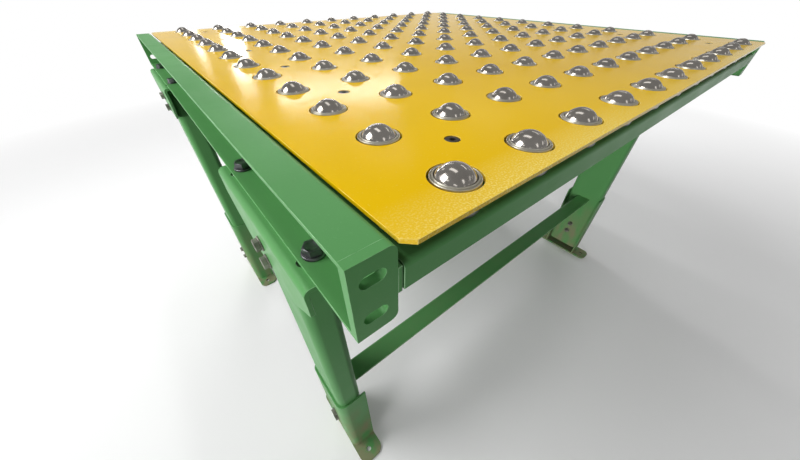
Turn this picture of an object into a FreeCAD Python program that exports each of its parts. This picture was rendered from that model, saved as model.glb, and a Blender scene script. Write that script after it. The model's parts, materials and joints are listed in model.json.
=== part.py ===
import FreeCAD
import Part
import math
import os
import re
import Sketcher

# Ball transfer table: a yellow cover plate over rows of ball units, carried by cross channels between
# two outward-facing channel rails, on two stands with height-adjustable feet.
# Millimetres. X runs across the rails, Y along them, Z up. The origin is on the floor below the centre.

# Driving dimensions
SIZES = {
    # Ball grid
    "ball_pitch": 100,
    "ball_columns": 11,
    "channel_count": 6,
    # Ball unit
    "ball_dia": 38,
    "ball_rise": 11,
    "ball_play": 0.6,
    "bed_thick": 2.7,
    "bed_drop": 6,
    "cup_wall": 1.2,
    "cup_floor": 2.7,
    "cup_step": 3.5,
    "rim_drop": 4,
    "spigot_fit": 0.2,
    "crown_play": 0.6,
    "crown_rise": 1.6,
    "crown_lip": 1.4,
    "crown_shoulder": 3.3,
    # Cover plate
    "table_height": 840,
    "deck_thick": 4,
    "deck_side_margin": 78,
    "deck_end_margin": 36,
    "deck_corner": 8,
    "deck_hole_gap": 2.3,
    "deck_screw_dia": 8,
    "deck_screw_flare": 4,
    "spacer_height": 20,
    "spacer_wall": 5,
    # Rails and end plates
    "deck_side_gap": 1.5,
    "rail_height": 76,
    "rail_flange": 36,
    "rail_wall": 4,
    "rail_bend": 7,
    "rail_drop": 1,
    "rail_end_inset": 7,
    "end_plate_thick": 8,
    "end_slot_dia": 11,
    "end_slot_length": 20,
    "end_slot_inset": 17,
    "end_slot_low": 20,
    "end_slot_spacing": 37,
    # Cross channels
    "channel_depth": 26,
    "channel_wall": 4,
    "channel_bend": 5,
    "channel_edge": 5.5,
    "cleat_wall": 4,
    "cleat_gap": 1.5,
    "cleat_shelf": 30,
    "cleat_side_gap": 5,
    # Stand brackets
    "stand_inset": 200,
    "bracket_length": 270,
    "bracket_foot": 140,
    "bracket_flange": 56,
    "bracket_overhang": 12,
    "bracket_drop": 86,
    "bracket_end": 35,
    "bracket_wall": 5,
    "bracket_bend": 8,
    "bracket_slot_travel": 12,
    "rail_bolt_dia": 12,
    "rail_bolt_spacing": 205,
    "rail_bolt_inset": 16,
    # Legs, feet and braces
    "leg_width": 120,
    "leg_depth": 50,
    "leg_wall": 4,
    "leg_bend": 14,
    "leg_top_gap": 6,
    "leg_bolt_dia": 10,
    "leg_bolt_drop": 42,
    "leg_bolt_spacing": 30,
    "foot_height": 290,
    "foot_wall": 4,
    "foot_plate": 6,
    "foot_toe": 50,
    "foot_lip": 8,
    "toe_corner": 22,
    "foot_clearance": 0.4,
    "foot_travel": 20,
    "foot_spare": 4,
    "foot_bolt_dia": 10,
    "foot_bolt_low": 72,
    "foot_bolt_spacing": 38,
    "anchor_dia": 12,
    "brace_top": 280,
    "brace_width": 50,
    "brace_depth": 50,
    "brace_wall": 5,
    "brace_bend": 8,
    # Fastener fits
    "bolt_clearance": 1,
    "thread_gap": 0.1,
    "thread_end": 3,
}

# Sizes that follow from the driving ones
DERIVED = {
    "ball_radius": "ball_dia / 2",
    "ball_centre": "table_height + ball_rise - ball_radius",
    "bed_inner": "ball_radius + ball_play",
    "seat_radius": "bed_inner + bed_thick",
    "bed_top": "ball_centre - bed_drop",
    "cup_radius": "seat_radius + cup_wall",
    "cup_rim": "ball_centre - rim_drop",
    "cup_bottom": "ball_centre - seat_radius - cup_floor",
    "spigot_radius": "cup_radius - cup_step",
    "crown_inner": "ball_radius + crown_play",
    "crown_top": "table_height + crown_rise",
    "crown_mouth": "sqrt(crown_inner ^ 2 - (crown_top - ball_centre) ^ 2)",
    "crown_neck": "crown_mouth + crown_shoulder",
    "deck_width": "(ball_columns - 1) * ball_pitch + 2 * deck_side_margin",
    "deck_length": "(2 * channel_count - 1) * ball_pitch + 2 * deck_end_margin",
    "deck_bottom": "table_height - deck_thick",
    "deck_screw_x": "(ball_columns - 2) * ball_pitch / 2",
    "deck_screw_radius": "deck_screw_dia / 2",
    "deck_screw_rim": "deck_screw_radius + deck_screw_flare",
    "channel_top": "deck_bottom - spacer_height",
    "channel_width": "ball_pitch + 2 * (cup_radius + channel_edge)",
    "channel_pitch": "2 * ball_pitch",
    "frame_half": "deck_width / 2 + deck_side_gap",
    "rail_outer": "frame_half + rail_flange",
    "rail_bottom": "table_height - rail_drop - rail_height",
    "rail_end": "deck_length / 2 - rail_end_inset",
    "rail_length": "2 * (rail_end - end_plate_thick)",
    "rail_bolt_x": "rail_outer - rail_bolt_inset",
    "stand_y": "rail_end - stand_inset",
    "bracket_outer": "rail_outer + bracket_overhang",
    "leg_outer": "bracket_outer - bracket_wall",
    "leg_inner": "leg_outer - leg_depth",
    "leg_centre": "leg_outer - leg_depth / 2",
    "leg_top": "rail_bottom - bracket_wall - leg_top_gap",
    "leg_bottom": "foot_plate + foot_travel + foot_spare",
    "leg_bolt_z": "rail_bottom - leg_bolt_drop",
    "foot_bolt_z": "leg_bottom + foot_bolt_low",
    "sleeve_gap": "foot_clearance + foot_wall",
    "channel_half": "frame_half - cleat_wall - cleat_gap",
    "foot_outer": "leg_depth / 2 + sleeve_gap",
    "foot_inner": "leg_depth / 2 + foot_lip",
    "foot_half": "sleeve_width / 2 + foot_toe",
    "sleeve_width": "leg_width + 2 * sleeve_gap",
}

# Standard hexagon fastener proportions, as shares of the thread diameter
HEX_CORNERS = 1.67
HEAD_HEIGHT = 0.625
NUT_HEIGHT = 0.85
WASHER_DIA = 2
WASHER_THICK = 0.2
SOCKET_CORNERS = 0.7
SOCKET_DEPTH = 0.4

CORNERS = {
    "left_near": (-1, -1),
    "left_far": (-1, 1),
    "right_near": (1, -1),
    "right_far": (1, 1),
}
SAME_PLACE = 1e-4
# A grid's own mark for a gap of one pitch
EVEN_GAP = -1.0
X_AXIS = FreeCAD.Vector(1, 0, 0)
Y_AXIS = FreeCAD.Vector(0, 1, 0)
Z_AXIS = FreeCAD.Vector(0, 0, 1)

doc = FreeCAD.newDocument("BallTransferTable")
sheet = doc.addObject("Spreadsheet::Sheet", "Sizes")
pieces = []


# Sheet and expressions


def fill_sheet():
    """Writes every driving dimension to its own aliased cell."""
    for row, (name, number) in enumerate(SIZES.items(), start=1):
        sheet.set(f"A{row}", name)
        sheet.set(f"B{row}", str(number))
        sheet.setAlias(f"B{row}", name)
    doc.recompute()


def formula(text):
    """Turns size names in the text into references to the sheet, with derived sizes written out."""

    def expand(match):
        word = match.group(0)
        if word in SIZES:
            return f"Sizes.{word}"
        if word in DERIVED:
            return f"({formula(DERIVED[word])})"
        return word

    return re.sub(r"[a-z_]+", expand, str(text))


def value(text):
    """Gives a formula's number at the sheet's sizes."""
    return float(sheet.evalExpression(formula(text)))


def bind(item, name, text):
    """Ties one property of an object to the sheet."""
    item.setExpression(name, formula(text))


def place(item, x=0, y=0, z=0, turn=0):
    """Stands an object at bound coordinates, turned about Z."""
    item.Placement = FreeCAD.Placement(FreeCAD.Vector(), FreeCAD.Rotation(Z_AXIS, turn))
    bind(item, "Placement.Base.x", x)
    bind(item, "Placement.Base.y", y)
    bind(item, "Placement.Base.z", z)


# Sketches and features


def new_body(label):
    """Starts a sub-part's body."""
    body = doc.addObject("PartDesign::Body", label)
    body.Label = label
    pieces.append(body)
    return body


def origin_feature(body, role):
    """Finds one of the body's own planes or axes."""
    return next(item for item in body.Origin.OriginFeatures if item.Role == role)


def new_sketch(body, plane, name):
    """Starts a sketch on one of the body's origin planes."""
    sketch = body.newObject("Sketcher::SketchObject", f"{body.Name}_{name}")
    sketch.AttachmentSupport = [(origin_feature(body, plane), "")]
    sketch.MapMode = "FlatFace"
    return sketch


def hold(sketch, kind, anchors, text):
    """Adds one dimension to a sketch and ties it to the sheet."""
    index = sketch.addConstraint(Sketcher.Constraint(kind, *anchors, value(text)))
    sketch.setExpression(f"Constraints[{index}]", formula(text))


def hold_point(sketch, shape, point, x, y):
    """Holds a point of a sketch at bound coordinates from the sketch's origin."""
    hold(sketch, "DistanceX", (-1, 1, shape, point), x)
    hold(sketch, "DistanceY", (-1, 1, shape, point), y)


def outline(sketch, corners):
    """Draws a closed straight-sided outline through bound corners."""
    spots = [FreeCAD.Vector(value(x), value(y), 0) for x, y in corners]
    lines = []
    for start, end in zip(spots, spots[1:] + spots[:1]):
        lines.append(sketch.addGeometry(Part.LineSegment(start, end), False))
    for line, follower in zip(lines, lines[1:] + lines[:1]):
        sketch.addConstraint(Sketcher.Constraint("Coincident", line, 2, follower, 1))
    for line, (x, y) in zip(lines, corners):
        hold_point(sketch, line, 1, x, y)


def rectangle(sketch, width, height):
    """Draws a bound rectangle about the sketch's origin."""
    x = f"({width}) / 2"
    y = f"({height}) / 2"
    outline(sketch, [(f"-{x}", f"-{y}"), (x, f"-{y}"), (x, y), (f"-{x}", y)])


def circle(sketch, x, y, radius):
    """Draws a bound circle."""
    centre = FreeCAD.Vector(value(x), value(y), 0)
    ring = sketch.addGeometry(Part.Circle(centre, Z_AXIS, value(radius)), False)
    hold_point(sketch, ring, 3, x, y)
    hold(sketch, "Radius", (ring,), radius)


def slot(sketch, first, last, radius):
    """Draws a round-ended slot between two bound end centres."""
    start = FreeCAD.Vector(value(first[0]), value(first[1]), 0)
    end = FreeCAD.Vector(value(last[0]), value(last[1]), 0)
    angle = math.atan2(end.y - start.y, end.x - start.x)
    side = FreeCAD.Vector(-math.sin(angle), math.cos(angle), 0) * value(radius)
    quarter = math.pi / 2
    head = Part.ArcOfCircle(Part.Circle(start, Z_AXIS, value(radius)), angle + quarter, angle + 3 * quarter)
    tail = Part.ArcOfCircle(Part.Circle(end, Z_AXIS, value(radius)), angle - quarter, angle + quarter)
    left = sketch.addGeometry(head, False)
    right = sketch.addGeometry(tail, False)
    lower = sketch.addGeometry(Part.LineSegment(start - side, end - side), False)
    upper = sketch.addGeometry(Part.LineSegment(end + side, start + side), False)
    sketch.addConstraint(Sketcher.Constraint("Tangent", left, 2, lower, 1))
    sketch.addConstraint(Sketcher.Constraint("Tangent", right, 1, lower, 2))
    sketch.addConstraint(Sketcher.Constraint("Tangent", right, 2, upper, 1))
    sketch.addConstraint(Sketcher.Constraint("Tangent", left, 1, upper, 2))
    hold_point(sketch, left, 3, *first)
    hold_point(sketch, right, 3, *last)
    hold(sketch, "Radius", (left,), radius)


def pad(body, sketch, length, both_ways=False):
    """Pads a sketch by a bound length, up from its plane or both ways from it."""
    feature = body.newObject("PartDesign::Pad", f"{sketch.Name}_pad")
    feature.Profile = sketch
    feature.SideType = "Symmetric" if both_ways else "One side"
    bind(feature, "Length", length)
    doc.recompute()
    return feature


def cut_through(body, sketch):
    """Cuts a sketch through everything on both sides of its plane."""
    before = body.Shape.Volume
    feature = body.newObject("PartDesign::Pocket", f"{sketch.Name}_cut")
    feature.Profile = sketch
    feature.SideType = "Symmetric"
    feature.Type = "ThroughAll"
    doc.recompute()
    check_cut(body, before, feature)
    return feature


def cut_up(body, sketch, depth):
    """Cuts a sketch upwards from its plane by a bound depth."""
    before = body.Shape.Volume
    feature = body.newObject("PartDesign::Pocket", f"{sketch.Name}_cut")
    feature.Profile = sketch
    feature.Reversed = True
    bind(feature, "Length", depth)
    doc.recompute()
    check_cut(body, before, feature)
    return feature


def check_cut(body, before, feature):
    """Stops the build when a cut took nothing away."""
    if body.Shape.Volume > before - SAME_PLACE:
        raise ValueError(f"{feature.Name} cuts nothing")


def repeat(body, feature, counts, pitches):
    """Repeats a cut on a grid along the body's X and Y axes."""
    pattern = body.newObject("PartDesign::LinearPattern", f"{feature.Name}_grid")
    pattern.Originals = [feature]
    pattern.Direction = (origin_feature(body, "X_Axis"), [""])
    pattern.Direction2 = (origin_feature(body, "Y_Axis"), [""])
    pattern.Mode = "Spacing"
    pattern.Mode2 = "Spacing"
    bind(pattern, "Occurrences", counts[0])
    bind(pattern, "Occurrences2", counts[1])
    bind(pattern, "Offset", pitches[0])
    bind(pattern, "Offset2", pitches[1])
    pattern.Spacings2 = [EVEN_GAP] * (round(value(counts[1])) - 1)
    body.Tip = pattern
    doc.recompute()


def edges_along(shape, axis, places):
    """Names the straight edges along an axis that pass through the given places across it."""
    found = []
    for number, edge in enumerate(shape.Edges, start=1):
        if not isinstance(edge.Curve, Part.Line):
            continue
        if edge.tangentAt(edge.FirstParameter).cross(axis).Length > SAME_PLACE:
            continue
        middle = edge.CenterOfMass
        across = [number for number, share in zip(middle, axis) if abs(share) < SAME_PLACE]
        if any(math.dist(across, spot) < SAME_PLACE for spot in places):
            found.append(f"Edge{number}")
    return found


def round_edges(body, axis, places, radius, kind="Fillet"):
    """Rounds, or bevels, the edges along an axis at bound places."""
    spots = [(value(first), value(second)) for first, second in places]
    base = body.Tip
    names = edges_along(base.Shape, axis, spots)
    if len(names) < len(spots):
        raise ValueError(f"{body.Label} has {len(names)} of {len(spots)} edges to round")
    feature = body.newObject(f"PartDesign::{kind}", f"{body.Name}_{kind.lower()}")
    feature.Base = (base, names)
    bind(feature, "Radius" if kind == "Fillet" else "Size", radius)
    body.Tip = feature
    doc.recompute()


def box_corners(x, y):
    """Gives the four corners at plus and minus two bound half sizes."""
    return [(f"-({x})", f"-({y})"), (x, f"-({y})"), (x, y), (f"-({x})", y)]


# Solids from primitives


def cylinder(name, radius, low, height):
    """Makes a bound upright cylinder from a bound level."""
    solid = doc.addObject("Part::Cylinder", name)
    bind(solid, "Radius", radius)
    bind(solid, "Height", height)
    place(solid, z=low)
    return solid


def cone(name, low_radius, high_radius, low, height):
    """Makes a bound upright cone from a bound level."""
    solid = doc.addObject("Part::Cone", name)
    bind(solid, "Radius1", low_radius)
    bind(solid, "Radius2", high_radius)
    bind(solid, "Height", height)
    place(solid, z=low)
    return solid


def sphere(name, radius, level):
    """Makes a bound sphere at a bound level."""
    solid = doc.addObject("Part::Sphere", name)
    bind(solid, "Radius", radius)
    place(solid, z=level)
    return solid


def hexagon(name, corners, low, height):
    """Makes a bound upright hexagonal prism from a bound level."""
    solid = doc.addObject("Part::Prism", name)
    solid.Polygon = 6
    bind(solid, "Circumradius", f"({corners}) / 2")
    bind(solid, "Height", height)
    place(solid, z=low)
    return solid


def combine(kind, name, base, tool):
    """Joins, cuts or intersects two solids."""
    result = doc.addObject(f"Part::{kind}", name)
    result.Base = base
    result.Tool = tool
    return result


def group(label, master, placements):
    """Makes one sub-part of separate equal solids, copies of a master at each placement."""
    copies = []
    for placement in placements:
        solid = master.Shape.copy()
        solid.Placement = placement.multiply(solid.Placement)
        copies.append(solid)
    piece = doc.addObject("Part::Feature", label)
    piece.Label = label
    piece.Shape = Part.makeCompound(copies)
    pieces.append(piece)


def at(x, y, z=0.0, rotation=FreeCAD.Rotation()):
    """Gives the placement of one copy."""
    return FreeCAD.Placement(FreeCAD.Vector(x, y, z), rotation)


# Cover plate


def build_deck():
    """Makes the cover plate with a hole over every ball unit and countersunk screw holes."""
    body = new_body("deck_plate")
    plate = new_sketch(body, "XY_Plane", "plate")
    rectangle(plate, "deck_width", "deck_length")
    pad(body, plate, "deck_thick")
    round_edges(body, Z_AXIS, box_corners("deck_width / 2", "deck_length / 2"), "deck_corner", kind="Chamfer")
    hole = new_sketch(body, "XY_Plane", "ball_hole")
    first_x = "-(ball_columns - 1) * ball_pitch / 2"
    first_y = "-(2 * channel_count - 1) * ball_pitch / 2"
    circle(hole, first_x, first_y, "crown_neck + deck_hole_gap")
    ball_hole = cut_through(body, hole)
    repeat(body, ball_hole, ("ball_columns", "2 * channel_count"), ("ball_pitch", "ball_pitch"))
    sink = body.newObject("PartDesign::SubtractiveCone", "screw_sink")
    sink.AttachmentSupport = [(origin_feature(body, "XY_Plane"), "")]
    sink.MapMode = "FlatFace"
    bind(sink, "Radius1", "deck_screw_radius")
    bind(sink, "Radius2", "deck_screw_rim")
    bind(sink, "Height", "deck_thick")
    bind(sink, "AttachmentOffset.Base.x", "-deck_screw_x")
    bind(sink, "AttachmentOffset.Base.y", "-(channel_count - 1) * channel_pitch / 2")
    doc.recompute()
    repeat(body, sink, ("2", "channel_count"), ("2 * deck_screw_x", "channel_pitch"))
    place(body, z="deck_bottom")


def deck_screw_places():
    """Lists where the deck screws stand, one pair on each cross channel."""
    x = value("deck_screw_x")
    return [at(side * x, y) for y in channel_places() for side in (-1, 1)]


def build_deck_fixings():
    """Makes the countersunk screws, the spacers they pass through and the nuts below."""
    shank = f"spacer_height + channel_wall + {NUT_HEIGHT} * deck_screw_dia + thread_end"
    head = cone("screw_head", "deck_screw_radius", "deck_screw_rim", "deck_bottom", "deck_thick")
    stem = cylinder("screw_stem", "deck_screw_radius", f"deck_bottom - ({shank})", shank)
    depth = f"{SOCKET_DEPTH} * deck_screw_dia"
    socket = hexagon("screw_socket", f"{SOCKET_CORNERS} * deck_screw_dia", f"table_height - {depth}", depth)
    screw = combine("Cut", "screw", combine("Fuse", "screw_blank", head, stem), socket)
    bore = "(deck_screw_dia + bolt_clearance) / 2"
    tube = cylinder("spacer_tube", f"{bore} + spacer_wall", "channel_top", "spacer_height")
    spacer = combine("Cut", "spacer", tube, cylinder("spacer_bore", bore, "channel_top", "spacer_height"))
    nut_low = f"channel_top - channel_wall - {NUT_HEIGHT} * deck_screw_dia"
    nut = hex_nut("screw_nut", "deck_screw_dia", nut_low)
    doc.recompute()
    group("deck_screws", screw, deck_screw_places())
    group("deck_spacers", spacer, deck_screw_places())
    group("deck_nuts", nut, deck_screw_places())


# Ball units


def ball_places():
    """Lists the columns' X and the rows' Y of the ball grid."""
    columns = round(value("ball_columns"))
    rows = 2 * round(value("channel_count"))
    pitch = value("ball_pitch")
    across = [(column - (columns - 1) / 2) * pitch for column in range(columns)]
    along = [(row - (rows - 1) / 2) * pitch for row in range(rows)]
    return across, along


def build_ball_units():
    """Makes the captured ball units: balls in rows, their cups, bearing beds and crown caps."""
    across, along = ball_places()
    ball = sphere("ball", "ball_radius", "ball_centre")
    seat = sphere("cup_seat", "seat_radius", "ball_centre")
    wall = cylinder("cup_upper", "cup_radius", "channel_top", "cup_rim - channel_top")
    spigot = cylinder("cup_spigot", "spigot_radius", "cup_bottom", "channel_top - cup_bottom")
    cup = combine("Cut", "cup", combine("Fuse", "cup_blank", wall, spigot), seat)
    bowl = sphere("bed_bowl", "seat_radius", "ball_centre")
    reach = cylinder("bed_reach", "seat_radius", "ball_centre - seat_radius", "seat_radius - bed_drop")
    hollow = sphere("bed_hollow", "bed_inner", "ball_centre")
    bed = combine("Cut", "bed", combine("Common", "bed_blank", bowl, reach), hollow)
    skirt = cone("crown_skirt", "cup_radius", "crown_neck", "cup_rim", "table_height - cup_rim")
    lip = cone("crown_rim", "crown_neck", "crown_mouth + crown_lip", "table_height", "crown_rise")
    dome = sphere("crown_dome", "crown_inner", "ball_centre")
    crown = combine("Cut", "crown", combine("Fuse", "crown_blank", skirt, lip), dome)
    doc.recompute()
    grid = [at(x, y) for y in along for x in across]
    for number, y in enumerate(along, start=1):
        group(f"ball_row_{number:02d}", ball, [at(x, y) for x in across])
    group("ball_cups", cup, grid)
    group("bearing_beds", bed, grid)
    group("crown_caps", crown, grid)


# Frame


def rolled_channel(body, size, bend, length):
    """Pads a folded channel section: a web on top, two flanges down, rounded at both folds."""
    half, depth, wall = size
    inner = f"{half} - {wall}"
    section = new_sketch(body, "YZ_Plane", "section")
    outline(
        section,
        [
            (f"-({half})", f"-{depth}"),
            (f"-({half})", "0"),
            (half, "0"),
            (half, f"-{depth}"),
            (inner, f"-{depth}"),
            (inner, f"-{wall}"),
            (f"-({inner})", f"-{wall}"),
            (f"-({inner})", f"-{depth}"),
        ],
    )
    pad(body, section, length, both_ways=True)
    round_edges(body, X_AXIS, [(f"-({half})", "0"), (half, "0")], bend)
    round_edges(body, X_AXIS, [(f"-({inner})", f"-{wall}"), (inner, f"-{wall}")], f"{bend} - {wall}")


def build_rail(label, turn, side):
    """Makes one side rail: a folded channel that opens outwards, with bolt holes in its lower flange."""
    body = new_body(label)
    section = new_sketch(body, "XZ_Plane", "section")
    upper = "rail_height - rail_wall"
    outline(
        section,
        [
            ("0", "0"),
            ("0", "rail_height"),
            ("-rail_flange", "rail_height"),
            ("-rail_flange", upper),
            ("-rail_wall", upper),
            ("-rail_wall", "rail_wall"),
            ("-rail_flange", "rail_wall"),
            ("-rail_flange", "0"),
        ],
    )
    pad(body, section, "rail_length", both_ways=True)
    round_edges(body, Y_AXIS, [("0", "0"), ("0", "rail_height")], "rail_bend")
    round_edges(body, Y_AXIS, [("-rail_wall", "rail_wall"), ("-rail_wall", upper)], "rail_bend - rail_wall")
    holes = new_sketch(body, "XY_Plane", "bolt_holes")
    for stand in ("-stand_y", "stand_y"):
        for step in ("-rail_bolt_spacing / 2", "+rail_bolt_spacing / 2"):
            y = f"{stand} {step}"
            circle(holes, "rail_bolt_inset - rail_flange", y, "(rail_bolt_dia + bolt_clearance) / 2")
    cut_up(body, holes, "rail_wall")
    place(body, x=f"{side} * frame_half", z="rail_bottom", turn=turn)


def build_end_plate(label, side, end):
    """Makes one rail end plate with two level slots for joining the next machine."""
    body = new_body(label)
    plate = new_sketch(body, "XZ_Plane", "plate")
    outline(plate, [("0", "0"), ("0", "rail_height"), ("-rail_flange", "rail_height"), ("-rail_flange", "0")])
    pad(body, plate, "end_plate_thick", both_ways=True)
    round_edges(body, Y_AXIS, [("0", "0"), ("0", "rail_height")], "rail_bend")
    slots = new_sketch(body, "XZ_Plane", "slots")
    reach = "(end_slot_length - end_slot_dia) / 2"
    middle = "end_slot_inset - rail_flange"
    for level in ("end_slot_low", "end_slot_low + end_slot_spacing"):
        slot(slots, (f"{middle} - {reach}", level), (f"{middle} + {reach}", level), "end_slot_dia / 2")
    cut_through(body, slots)
    turn = 0 if side < 0 else 180
    place(body, f"{side} * frame_half", f"{end} * (rail_end - end_plate_thick / 2)", "rail_bottom", turn)


def channel_places():
    """Lists the cross channels' Y."""
    count = round(value("channel_count"))
    return [(number - (count - 1) / 2) * value("channel_pitch") for number in range(count)]


def build_cross_channel(number):
    """Makes one cross channel with two rows of cup holes and the deck screw holes."""
    body = new_body(f"cross_channel_{number + 1}")
    size = ("channel_width / 2", "channel_depth", "channel_wall")
    rolled_channel(body, size, "channel_bend", "2 * channel_half")
    hole = new_sketch(body, "XY_Plane", "cup_hole")
    circle(hole, "-(ball_columns - 1) * ball_pitch / 2", "-ball_pitch / 2", "spigot_radius + spigot_fit")
    cup_hole = cut_through(body, hole)
    repeat(body, cup_hole, ("ball_columns", "2"), ("ball_pitch", "ball_pitch"))
    screws = new_sketch(body, "XY_Plane", "screw_holes")
    for x in ("-deck_screw_x", "deck_screw_x"):
        circle(screws, x, "0", "(deck_screw_dia + bolt_clearance) / 2")
    cut_through(body, screws)
    place(body, y=f"({number} - (channel_count - 1) / 2) * channel_pitch", z="channel_top")


def build_cleats():
    """Makes the angle cleats on the rails, each with a shelf under a channel's web."""
    master = doc.addObject("PartDesign::Body", "cleat")
    plate = new_sketch(master, "XZ_Plane", "plate")
    low = "-channel_depth"
    outline(plate, [("0", low), ("cleat_wall", low), ("cleat_wall", "0"), ("0", "0")])
    pad(master, plate, "channel_width", both_ways=True)
    shelf = new_sketch(master, "XZ_Plane", "shelf")
    tip = "cleat_wall + cleat_shelf"
    under = "-channel_wall - cleat_wall"
    outline(shelf, [("0", under), (tip, under), (tip, "-channel_wall"), ("0", "-channel_wall")])
    pad(master, shelf, "channel_width - 2 * (channel_wall + cleat_side_gap)", both_ways=True)
    half = value("frame_half")
    top = value("channel_top")
    seats = []
    for y in channel_places():
        seats.append(at(-half, y, top))
        seats.append(at(half, y, top, FreeCAD.Rotation(Z_AXIS, 180)))
    group("channel_cleats", master, seats)


# Stands


def build_bracket(label, side, end):
    """Makes one stand bracket: a folded angle under the rail, its hanging flange cut to a trapezium."""
    body = new_body(label)
    section = new_sketch(body, "XZ_Plane", "section")
    outline(
        section,
        [
            ("0", "0"),
            ("bracket_flange", "0"),
            ("bracket_flange", "-bracket_wall"),
            ("bracket_wall", "-bracket_wall"),
            ("bracket_wall", "-bracket_drop"),
            ("0", "-bracket_drop"),
        ],
    )
    pad(body, section, "bracket_length", both_ways=True)
    round_edges(body, Y_AXIS, [("0", "0")], "bracket_bend")
    round_edges(body, Y_AXIS, [("bracket_wall", "-bracket_wall")], "bracket_bend - bracket_wall")
    corners = new_sketch(body, "YZ_Plane", "corners")
    for way in ("-1", "1"):
        tip = f"{way} * bracket_length / 2"
        heel = f"{way} * bracket_foot / 2"
        outline(corners, [(tip, "-bracket_end"), (tip, "-bracket_drop"), (heel, "-bracket_drop")])
    cut_through(body, corners)
    slots = new_sketch(body, "XY_Plane", "rail_slots")
    middle = "bracket_overhang + rail_bolt_inset"
    for y in ("-rail_bolt_spacing / 2", "rail_bolt_spacing / 2"):
        first = (f"{middle} - bracket_slot_travel", y)
        last = (f"{middle} + bracket_slot_travel", y)
        slot(slots, first, last, "(rail_bolt_dia + bolt_clearance) / 2")
    cut_through(body, slots)
    holes = new_sketch(body, "YZ_Plane", "leg_holes")
    for level in ("-leg_bolt_drop", "-leg_bolt_drop - leg_bolt_spacing"):
        circle(holes, "0", level, "(leg_bolt_dia + bolt_clearance) / 2")
    cut_through(body, holes)
    place(body, f"{side} * bracket_outer", f"{end} * stand_y", "rail_bottom", 0 if side < 0 else 180)


def box_tube(body, depth, width, wall, bend, length):
    """Pads a rounded box tube up from the body's origin."""
    section = new_sketch(body, "XY_Plane", "section")
    rectangle(section, depth, width)
    rectangle(section, f"{depth} - 2 * {wall}", f"{width} - 2 * {wall}")
    pad(body, section, length)
    round_edges(body, Z_AXIS, box_corners(f"({depth}) / 2", f"({width}) / 2"), bend)
    inside = box_corners(f"({depth}) / 2 - {wall}", f"({width}) / 2 - {wall}")
    round_edges(body, Z_AXIS, inside, f"{bend} - {wall}")


def build_leg(label, side, end):
    """Makes one box-section leg with through holes for the bracket and foot bolts."""
    body = new_body(label)
    box_tube(body, "leg_depth", "leg_width", "leg_wall", "leg_bend", "leg_top - leg_bottom")
    holes = new_sketch(body, "YZ_Plane", "bolt_holes")
    for level in ("leg_bolt_z", "leg_bolt_z - leg_bolt_spacing"):
        circle(holes, "0", f"{level} - leg_bottom", "(leg_bolt_dia + bolt_clearance) / 2")
    for level in ("foot_bolt_low", "foot_bolt_low + foot_bolt_spacing"):
        circle(holes, "0", level, "(foot_bolt_dia + bolt_clearance) / 2")
    cut_through(body, holes)
    place(body, f"{side} * leg_centre", f"{end} * stand_y", "leg_bottom")


def build_foot(label, side, end):
    """Makes one levelling foot: a slotted sleeve, open to the inside, on a toe plate with anchor holes."""
    body = new_body(label)
    section = new_sketch(body, "XY_Plane", "section")
    half = "sleeve_width / 2"
    inside = "sleeve_width / 2 - foot_wall"
    outline(
        section,
        [
            ("-foot_outer", f"-({half})"),
            ("foot_inner", f"-({half})"),
            ("foot_inner", f"-({inside})"),
            ("foot_wall - foot_outer", f"-({inside})"),
            ("foot_wall - foot_outer", inside),
            ("foot_inner", inside),
            ("foot_inner", half),
            ("-foot_outer", half),
        ],
    )
    pad(body, section, "foot_height")
    folds = [("-foot_outer", f"-({half})"), ("-foot_outer", half)]
    round_edges(body, Z_AXIS, folds, "leg_bend + sleeve_gap")
    hollows = [("foot_wall - foot_outer", f"-({inside})"), ("foot_wall - foot_outer", inside)]
    round_edges(body, Z_AXIS, hollows, "leg_bend + foot_clearance")
    plate = new_sketch(body, "XY_Plane", "plate")
    toes = []
    for x, y in (("-foot_outer", "-"), ("foot_inner", "-"), ("foot_inner", ""), ("-foot_outer", "")):
        toes.append((x, f"{y}foot_half"))
    outline(plate, toes)
    pad(body, plate, "foot_plate")
    round_edges(body, Z_AXIS, toes, "toe_corner")
    anchors = new_sketch(body, "XY_Plane", "anchors")
    for way in ("-1", "1"):
        circle(anchors, "0", f"{way} * (sleeve_width + foot_toe) / 2", "anchor_dia / 2")
    cut_through(body, anchors)
    slots = new_sketch(body, "YZ_Plane", "bolt_slot")
    low = ("0", "foot_bolt_z - foot_travel")
    high = ("0", "foot_bolt_z + foot_bolt_spacing + foot_travel")
    slot(slots, low, high, "(foot_bolt_dia + bolt_clearance) / 2")
    cut_through(body, slots)
    place(body, f"{side} * leg_centre", f"{end} * stand_y", turn=0 if side < 0 else 180)


def build_brace(label, end):
    """Makes the angle brace between a stand's two legs: a shelf on top and a flange down its inner edge."""
    body = new_body(label)
    section = new_sketch(body, "YZ_Plane", "section")
    lip = f"{end} * brace_width / 2"
    fold = f"-({lip})"
    inside = f"{fold} + {end} * brace_wall"
    outline(
        section,
        [
            (lip, "0"),
            (fold, "0"),
            (fold, "-brace_depth"),
            (inside, "-brace_depth"),
            (inside, "-brace_wall"),
            (lip, "-brace_wall"),
        ],
    )
    pad(body, section, "2 * leg_inner", both_ways=True)
    round_edges(body, X_AXIS, [(fold, "0")], "brace_bend")
    round_edges(body, X_AXIS, [(inside, "-brace_wall")], "brace_bend - brace_wall")
    place(body, y=f"{end} * stand_y", z="brace_top")


# Hexagon bolts


def hex_nut(name, dia, low):
    """Makes a nut from a bound level up."""
    height = f"{NUT_HEIGHT} * {dia}"
    blank = hexagon(f"{name}_blank", f"{HEX_CORNERS} * {dia}", low, height)
    bore = cylinder(f"{name}_bore", f"({dia} + thread_gap) / 2", low, height)
    return combine("Cut", name, blank, bore)


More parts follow.
